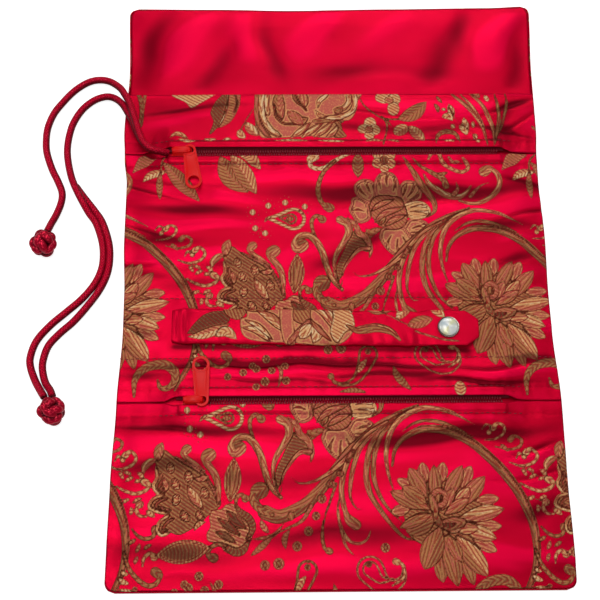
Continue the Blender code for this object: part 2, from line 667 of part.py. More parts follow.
def make_slider(name, zip_y, slider_x, material):
    """Die-cast slider: two plates, side walls, the wedge between them and the bridge."""
    place = (slider_x, zip_y, 0.0)
    half = SLIDER_LENGTH / 2.0
    body = prism(name, material, slider_outline(), SLIDER_LOW, PLATE_TOP, place)
    channel = prism(f"{name}_channel", material, channel_outline(), SLIDER_LOW + PLATE, PLATE_LOW, place)
    boolean(body, channel, "DIFFERENCE")
    corners = [(-half - 1.0, -SLIDER_MOUTH), (half + 1.0, -SLIDER_MOUTH), (half + 1.0, SLIDER_MOUTH),
               (-half - 1.0, SLIDER_MOUTH)]
    slot = prism(f"{name}_slot", material, corners, SLIDER_LOW + PLATE, TAPE_TOP + CLEARANCE, place)
    boolean(body, slot, "DIFFERENCE")
    front = -half + WEDGE_FRONT
    back = front + WEDGE_LENGTH
    wedge_points = [(front, -WEDGE_WIDTH / 3.0), (back - 1.4, -WEDGE_WIDTH / 2.0), (back, 0.0),
                    (back - 1.4, WEDGE_WIDTH / 2.0), (front, WEDGE_WIDTH / 3.0)]
    wedge_low = SLIDER_LOW + PLATE / 2.0
    wedge = prism(f"{name}_wedge", material, wedge_points, wedge_low, PLATE_TOP - PLATE / 2.0, place)
    boolean(body, wedge, "UNION")
    side = arch_outline()
    rings = [[(x, y, z) for x, z in side] for y in (BRIDGE_WIDTH / 2.0, -BRIDGE_WIDTH / 2.0)]
    bridge = loft(f"{name}_bridge", material, rings, place)
    boolean(body, bridge, "UNION")
    return body


def tab_outline(shrink, steps=8):
    """Pull tab in plan, pointing along -Y from its eye at the origin."""
    eye = TAB_EYE_OUTER - shrink
    end = TAB_END_OUTER - shrink
    points = []
    for step in range(steps + 1):
        turn = math.pi * step / steps
        points.append((eye * math.cos(turn), eye * math.sin(turn)))
    for step in range(steps + 1):
        turn = math.pi + math.pi * step / steps
        points.append((end * math.cos(turn), -TAB_REACH + end * math.sin(turn)))
    return points


def make_tab(name, pivot, heading, material):
    """Pull tab: a tapered plate with an eye round the bridge's leg, a finger hole and a sunk middle."""
    tab = prism(name, material, tab_outline(0.0), TAB_LOW, TAB_TOP, pivot)
    eye_edge = circle(TAB_EYE_HOLE, 14)
    hole_edge = circle(TAB_END_HOLE, 16, (0.0, -TAB_REACH))
    eye = prism(f"{name}_eye", material, eye_edge, TAB_LOW - 1.0, TAB_TOP + 1.0, pivot)
    hole = prism(f"{name}_hole", material, hole_edge, TAB_LOW - 1.0, TAB_TOP + 1.0, pivot)
    near = -TAB_EYE_HOLE - TAB_RIM
    far = -TAB_REACH + TAB_END_HOLE + TAB_RIM / 2.0
    near_half = TAB_EYE_OUTER - TAB_RIM
    far_half = TAB_END_OUTER - TAB_RIM - 0.3
    recess_points = [(-far_half, far), (far_half, far), (near_half, near), (-near_half, near)]
    recess = prism(f"{name}_recess", material, recess_points, TAB_TOP - TAB_RECESS, TAB_TOP + 1.0, pivot)
    for cutter in (eye, hole, recess):
        boolean(tab, cutter, "DIFFERENCE")
    for piece in (tab, eye, hole, recess):
        piece.rotation_euler = (0.0, 0.0, math.radians(heading))
    return tab


def strap_underside(x):
    """Underside of the strap: on the panel, then up over the snap's socket."""
    bed = BED_LOW + PANEL_CLOTH + CLEARANCE
    over_snap = bed + SNAP_PLATE + CLEARANCE + SOCKET_DEPTH + CLEARANCE
    snap_x = STRAP_RIGHT - SNAP_INSET
    return bed + (over_snap - bed) * smoothstep(snap_x - SNAP_RADIUS - 10.0, snap_x - SNAP_RADIUS - 0.8, x)


def strap_depth(x):
    """Thickness of the strap along its length: soft in the middle, two cloths at the snap."""
    snap_x = STRAP_RIGHT - SNAP_INSET
    thin = smoothstep(snap_x - SNAP_RADIUS - 12.0, snap_x - SNAP_RADIUS - 1.0, x)
    full = STRAP_LOFT * (0.72 + 0.28 * smoothstep(STRAP_LEFT, STRAP_LEFT + 10.0, x))
    return full + (STRAP_END_CLOTH - full) * thin


def make_strap(material):
    """Soft strap for rings, sewn at its left end and pointed at its snap end."""
    snap_x = STRAP_RIGHT - SNAP_INSET
    near_snap = snap_x - SNAP_RADIUS
    stations = rows_between(STRAP_LEFT, near_snap - 12.0, [STRAP_LEFT + 1.5, STRAP_LEFT + 5.0], 20.0)
    stations += [near_snap - 8.0, near_snap - 4.0, near_snap - 0.8, snap_x]
    stations += [STRAP_RIGHT - STRAP_TIP, STRAP_RIGHT - STRAP_TIP * 0.5, STRAP_RIGHT - 0.6]
    rings = []
    for x in stations:
        half = STRAP_WIDTH / 2.0
        if x > STRAP_RIGHT - STRAP_TIP:
            half -= (x - STRAP_RIGHT + STRAP_TIP) * 0.75
        low = strap_underside(x)
        depth = strap_depth(x)
        ring = []
        for y_share, z_share in ((-0.93, 0.0), (0.93, 0.0), (1.0, 0.35), (0.96, 0.7), (0.6, 0.95),
                                 (0.0, 1.0), (-0.6, 0.95), (-0.96, 0.7), (-1.0, 0.35)):
            ring.append((x, strap_line(x) + half * y_share, low + depth * z_share))
        rings.append(ring)
    return loft("ring_strap", material, rings)


def make_snap(metal, pearl):
    """Pearl snap: capped ring on the strap, socket under it, stud and its back ring on the panel."""
    x = STRAP_RIGHT - SNAP_INSET
    y = strap_line(x)
    place = (x, y, 0.0)
    steps = 24
    panel_top = BED_LOW + PANEL_CLOTH
    back_low = LINING_TOP + CLEARANCE
    back_high = back_low + SNAP_PLATE
    rim = SNAP_RADIUS - 0.7
    back = [(STUD_RADIUS, back_low), (rim, back_low), (rim, back_high), (STUD_RADIUS, back_high)]
    turned_ring("snap_back_ring", metal, back, 16, place)
    stud_low = panel_top + CLEARANCE
    stud_top = stud_low + SNAP_PLATE
    stud = [(SNAP_RADIUS - 0.5, stud_low), (SNAP_RADIUS - 0.5, stud_top), (STUD_RADIUS * 0.8, stud_top),
            (STUD_RADIUS, stud_top + STUD_HEIGHT * 0.6), (STUD_RADIUS * 0.6, stud_top + STUD_HEIGHT)]
    turned("snap_stud", metal, stud, 16, place)
    socket_low = stud_top + CLEARANCE
    socket_top = socket_low + SOCKET_DEPTH
    hole = STUD_RADIUS + CLEARANCE
    socket = [(hole, socket_low), (SNAP_RADIUS - 0.5, socket_low), (SNAP_RADIUS - 0.3, socket_low + 0.5),
              (SNAP_RADIUS - 1.2, socket_top), (hole, socket_top)]
    turned_ring("snap_socket", metal, socket, 16, place)
    cap_low = strap_underside(x) + STRAP_END_CLOTH + CLEARANCE
    ring = [(PEARL_RADIUS - 1.0, cap_low), (SNAP_RADIUS - 0.2, cap_low), (SNAP_RADIUS, cap_low + 0.3),
            (SNAP_RADIUS - 0.2, cap_low + 0.8), (PEARL_RADIUS + 0.25, cap_low + 0.8),
            (PEARL_RADIUS + 0.25, cap_low + 0.3), (PEARL_RADIUS - 1.0, cap_low + 0.3)]
    turned_ring("snap_cap_ring", metal, ring, steps, place)
    seat = cap_low + 0.6
    widest = seat + 0.3
    dome = [(PEARL_RADIUS - 0.4, seat), (PEARL_RADIUS, widest)]
    for angle in (25.0, 50.0, 72.0):
        turn = math.radians(angle)
        dome.append((PEARL_RADIUS * math.cos(turn), widest + (seat + PEARL_HEIGHT - widest) * math.sin(turn)))
    turned("snap_pearl", pearl, dome, steps, place)


def smooth_route(route, step):
    """Points spaced about step apart on a smooth curve through the route's points."""
    fine = []
    for index in range(len(route) - 1):
        before = Vector(route[max(index - 1, 0)])
        start = Vector(route[index])
        end = Vector(route[index + 1])
        after = Vector(route[min(index + 2, len(route) - 1)])
        slope = end - before
        bow = 2.0 * before - 5.0 * start + 4.0 * end - after
        twist = 3.0 * start - before - 3.0 * end + after
        for part in range(12):
            t = part / 12.0
            fine.append(start + 0.5 * (slope * t + bow * t * t + twist * t * t * t))
    fine.append(Vector(route[-1]))
    lengths = [0.0]
    for a, b in zip(fine, fine[1:]):
        lengths.append(lengths[-1] + (b - a).length)
    count = max(2, round(lengths[-1] / step))
    points = []
    cursor = 0
    for index in range(count + 1):
        goal = lengths[-1] * index / count
        while cursor < len(fine) - 2 and lengths[cursor + 1] < goal:
            cursor += 1
        share = (goal - lengths[cursor]) / (lengths[cursor + 1] - lengths[cursor])
        points.append(fine[cursor].lerp(fine[cursor + 1], share))
    return points


def make_cord(name, route, material):
    """One free cord as a plain tube along its route."""
    curve = bpy.data.curves.new(name, "CURVE")
    curve.dimensions = "3D"
    curve.bevel_depth = CORD_DIAMETER / 2.0 * MM
    curve.bevel_resolution = 2
    curve.use_fill_caps = True
    points = smooth_route(route, CORD_STEP)
    spline = curve.splines.new("POLY")
    spline.points.add(len(points) - 1)
    for place, point in zip(spline.points, points):
        place.co = (*(point * MM), 1.0)
    curve.materials.append(material)
    thing = bpy.data.objects.new(name, curve)
    bpy.context.scene.collection.objects.link(thing)
    return thing


def make_knot(name, centre, material):
    """Button knot: a ball whose surface swells in three crossing bands of lobes."""
    around, levels = 18, 9
    rings = []
    for level in range(levels):
        tilt = math.pi * (level + 0.5) / levels - math.pi / 2.0
        ring = []
        for step in range(around):
            turn = 2.0 * math.pi * step / around
            lobe = math.cos(3.0 * turn + 4.0 * tilt) * math.cos(3.0 * turn - 4.0 * tilt)
            radius = KNOT_RADIUS * (1.0 - KNOT_SWELL + KNOT_SWELL * lobe)
            flat = radius * math.cos(tilt)
            ring.append((flat * math.cos(turn), flat * math.sin(turn), radius * math.sin(tilt)))
        rings.append(ring)
    return loft(name, material, rings, (*centre, KNOT_RADIUS + CLEARANCE / 2.0))


def main():
    clear_scene()
    brocade = make_material("brocade", (0.62, 0.01, 0.04), 0.45)
    satin = make_material("satin", (0.70, 0.0, 0.03), 0.35)
    padding = make_material("wadding", (0.85, 0.84, 0.80), 0.9)
    tape = make_material("zip_tape", (0.20, 0.0, 0.01), 0.7)
    coil = make_material("zip_coil", (0.24, 0.0, 0.012), 0.4)
    paint = make_material("red_paint", (0.85, 0.03, 0.03), 0.3)
    metal = make_material("snap_metal", (0.75, 0.74, 0.72), 0.3, 1.0)
    pearl = make_material("pearl", (0.86, 0.84, 0.78), 0.25)
    cord = make_material("cord", (0.35, 0.0, 0.02), 0.45)

    make_outer_panel(brocade)
    make_wadding(padding)
    make_lining(satin)
    make_panels(brocade)
    make_strap(brocade)
    make_snap(metal, pearl)

    make_zip("upper_zip", UPPER_ZIP_Y, UPPER_SLIT, UPPER_SLIDER_X, tape, coil)
    make_zip("lower_zip", LOWER_ZIP_Y, LOWER_SLIT, LOWER_SLIDER_X, tape, coil)
    make_slider("upper_slider", UPPER_ZIP_Y, UPPER_SLIDER_X, paint)
    make_slider("lower_slider", LOWER_ZIP_Y, LOWER_SLIDER_X, paint)
    upper_pivot = (UPPER_SLIDER_X + pivot_offset(), UPPER_ZIP_Y, 0.0)
    lower_pivot = (LOWER_SLIDER_X + pivot_offset(), LOWER_ZIP_Y, 0.0)
    make_tab("upper_pull_tab", upper_pivot, UPPER_TAB_LEAN, paint)
    make_tab("lower_pull_tab", lower_pivot, 180.0 + LOWER_TAB_LEAN, paint)

    make_cord("cord_single", SINGLE_ROUTE, cord)
    make_cord("cord_double", DOUBLE_ROUTE, cord)
    make_cord("cord_return", RETURN_ROUTE, cord)
    make_knot("knot_single", SINGLE_KNOT, cord)
    make_knot("knot_double", PAIR_KNOT, cord)


main()
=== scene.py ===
"""Jewelry roll of red silk brocade, opened flat on a white table."""
import math

import bmesh
import bpy
import numpy as np
from mathutils import Matrix, Vector
from mathutils.bvhtree import BVHTree


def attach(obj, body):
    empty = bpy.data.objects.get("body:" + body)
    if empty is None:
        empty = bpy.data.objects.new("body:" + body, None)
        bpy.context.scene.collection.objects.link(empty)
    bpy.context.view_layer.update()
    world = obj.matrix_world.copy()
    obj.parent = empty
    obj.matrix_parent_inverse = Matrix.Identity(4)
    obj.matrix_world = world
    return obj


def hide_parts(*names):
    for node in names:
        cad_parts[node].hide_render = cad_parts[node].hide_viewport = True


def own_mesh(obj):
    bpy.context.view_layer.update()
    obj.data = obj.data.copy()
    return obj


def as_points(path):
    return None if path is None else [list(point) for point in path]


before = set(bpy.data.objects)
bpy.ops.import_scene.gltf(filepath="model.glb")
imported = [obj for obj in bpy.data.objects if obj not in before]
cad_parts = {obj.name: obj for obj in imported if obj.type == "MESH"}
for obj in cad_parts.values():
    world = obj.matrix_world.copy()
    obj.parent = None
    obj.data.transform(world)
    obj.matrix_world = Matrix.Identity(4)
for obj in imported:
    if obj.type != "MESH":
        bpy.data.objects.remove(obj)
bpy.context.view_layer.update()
MM = 0.001

# Sizes repeated from the model, in millimetres.
WIDTH, LENGTH, CORNER = 205.0, 296.0, 4.5
SEAM_Y, UPPER_Y, LOWER_Y = 95.7, 62.6, -63.2
UPPER_SLIT, LOWER_SLIT = (-87.0, 82.0), (-73.5, 76.5)
SIDE_DRAW = np.array((
    (-148.0, 0.0, 0.2), (-130.0, 0.1, 0.0), (-101.0, 0.5, 0.5), (-64.0, 1.8, 0.2), (-28.0, 3.4, 2.0),
    (-10.0, 3.3, 2.2), (17.0, 2.2, 1.7), (47.0, 2.3, 2.6), (62.0, 0.7, 2.4), (76.0, 0.0, 1.6),
    (108.0, 1.5, 1.6), (146.0, 0.3, 0.3)))
TOP_SAG = np.array(((-102.5, 1.2), (-60.0, 1.6), (-20.0, 2.4), (30.0, 1.6), (80.0, 1.0), (102.5, 0.0)))
STRAP = {"left": -76.0, "right": 65.7, "y": -27.0, "drop": 2.6, "width": 17.1,
         "low": 4.6, "thick": 2.8, "flat": 0.8}
SNAP_X = STRAP["right"] - 14.3
CORD_RADIUS = 1.75
SEAMS = {"strip": 69.0, "upper": 56.2, "strap_top": -12.8, "strap_low": -42.3,
         "lower": -56.8, "pocket": -69.6}
# For each zip: its slider's place at rest, along and up, the end of its coils and the slider's whole way.
ZIPS = {"upper": (-73.6, UPPER_Y, 80.2, 149.0), "lower": (-65.4, LOWER_Y, 74.7, 135.0)}
# Where the plates of the sliders pass: (height up the panel, start, end).
PLATE_RUNS = ((UPPER_Y, -79.0, 81.0), (LOWER_Y, -71.0, 75.2))
TAB_REACH, TAB_TOP = 16.6, 8.5
SINGLE_ROUTE = (
    (-80.2, 62.0, 6.2), (-83.9, 61.7, 8.6), (-88.6, 62.6, 9.7), (-92.3, 66.5, 9.8),
    (-94.6, 72.3, 9.7), (-96.4, 78.6, 9.5), (-98.3, 84.5, 8.7), (-100.2, 90.1, 7.0),
    (-102.5, 94.8, 5.9), (-105.3, 99.4, 4.4), (-110.8, 104.1, 2.4), (-116.7, 105.3, 1.7),
    (-122.3, 103.6, 1.6), (-128.4, 98.9, 1.6), (-133.8, 92.3, 1.6), (-137.8, 85.9, 1.6),
    (-140.2, 78.1, 1.6), (-140.5, 70.3, 1.6), (-139.6, 64.0, 1.6), (-136.7, 55.7, 1.6),
    (-133.6, 49.4, 1.6), (-131.2, 43.2, 1.6), (-131.3, 37.8, 1.7), (-133.0, 31.4, 2.4),
    (-135.1, 25.2, 4.2), (-136.3, 20.7, 5.9),
)
DOUBLE_ROUTE = (
    (-86.2, 63.7, 5.8), (-89.0, 65.0, 6.2), (-93.2, 68.8, 6.4), (-95.9, 74.1, 6.4),
    (-97.9, 79.7, 6.2), (-100.4, 84.4, 5.4), (-103.7, 90.2, 4.3), (-107.8, 94.4, 2.6),
    (-112.4, 95.8, 1.7), (-118.0, 93.8, 1.6), (-123.5, 88.8, 1.6), (-127.5, 81.6, 1.6),
    (-129.3, 74.5, 1.6), (-129.9, 66.8, 1.6), (-129.1, 59.7, 1.8), (-126.9, 50.9, 2.9),
    (-123.9, 43.5, 3.9), (-120.8, 37.5, 3.6), (-117.6, 32.0, 2.4), (-113.8, 26.4, 1.7),
    (-110.6, 16.7, 1.6), (-109.8, 8.0, 1.6), (-110.9, 1.0, 1.6), (-114.0, -5.7, 1.6),
    (-119.2, -12.4, 1.6), (-125.7, -18.5, 1.6), (-132.8, -25.1, 1.6), (-138.6, -32.5, 1.6),
    (-141.0, -40.0, 1.6), (-140.7, -45.2, 1.6), (-138.0, -52.1, 2.6), (-134.6, -58.0, 5.0),
    (-132.6, -61.2, 6.9),
)
RETURN_ROUTE = (
    (-124.6, 46.4, 1.6), (-120.3, 40.4, 1.6), (-115.0, 33.4, 1.6), (-110.9, 27.0, 1.6),
    (-107.5, 16.7, 1.6), (-106.7, 8.0, 1.6), (-107.7, 0.2, 1.6), (-111.0, -7.8, 1.6),
    (-116.2, -15.7, 1.6), (-122.1, -23.2, 1.6), (-128.3, -29.2, 1.6), (-133.0, -35.0, 1.6),
    (-135.0, -41.5, 1.6), (-135.1, -46.7, 1.6), (-133.3, -53.0, 2.2), (-130.6, -57.2, 3.9),
    (-129.2, -60.4, 5.2),
)
KNOTS = {"knot_single": (-137.4, 14.1, 7.05), "knot_double": (-128.8, -68.0, 7.05)}


def pair(text):
    """One number, or two with a slash between."""
    values = tuple(float(v) for v in text.split("/"))
    return values if len(values) > 1 else values[0]


def shapes(table):
    """Reads woven shapes. A line gives a kind, half width, tone, thread angle and perhaps an option, then
    the points after a colon, with a bar between strokes that share all the rest."""
    made = []
    for line in table.strip().replace("\n  ", " ").splitlines():
        if not line.startswith("#"):
            head, strokes = line.split(" : ")
            kind, half, tone, angle, *option = head.split()
            option = pair(option[0]) if option else None
            for stroke in strokes.split(" | "):
                points = np.array([[float(v) for v in at.split(",")] for at in stroke.split()])
                made.append((kind, pair(half), pair(tone), math.radians(float(angle)), points, option))
    return made


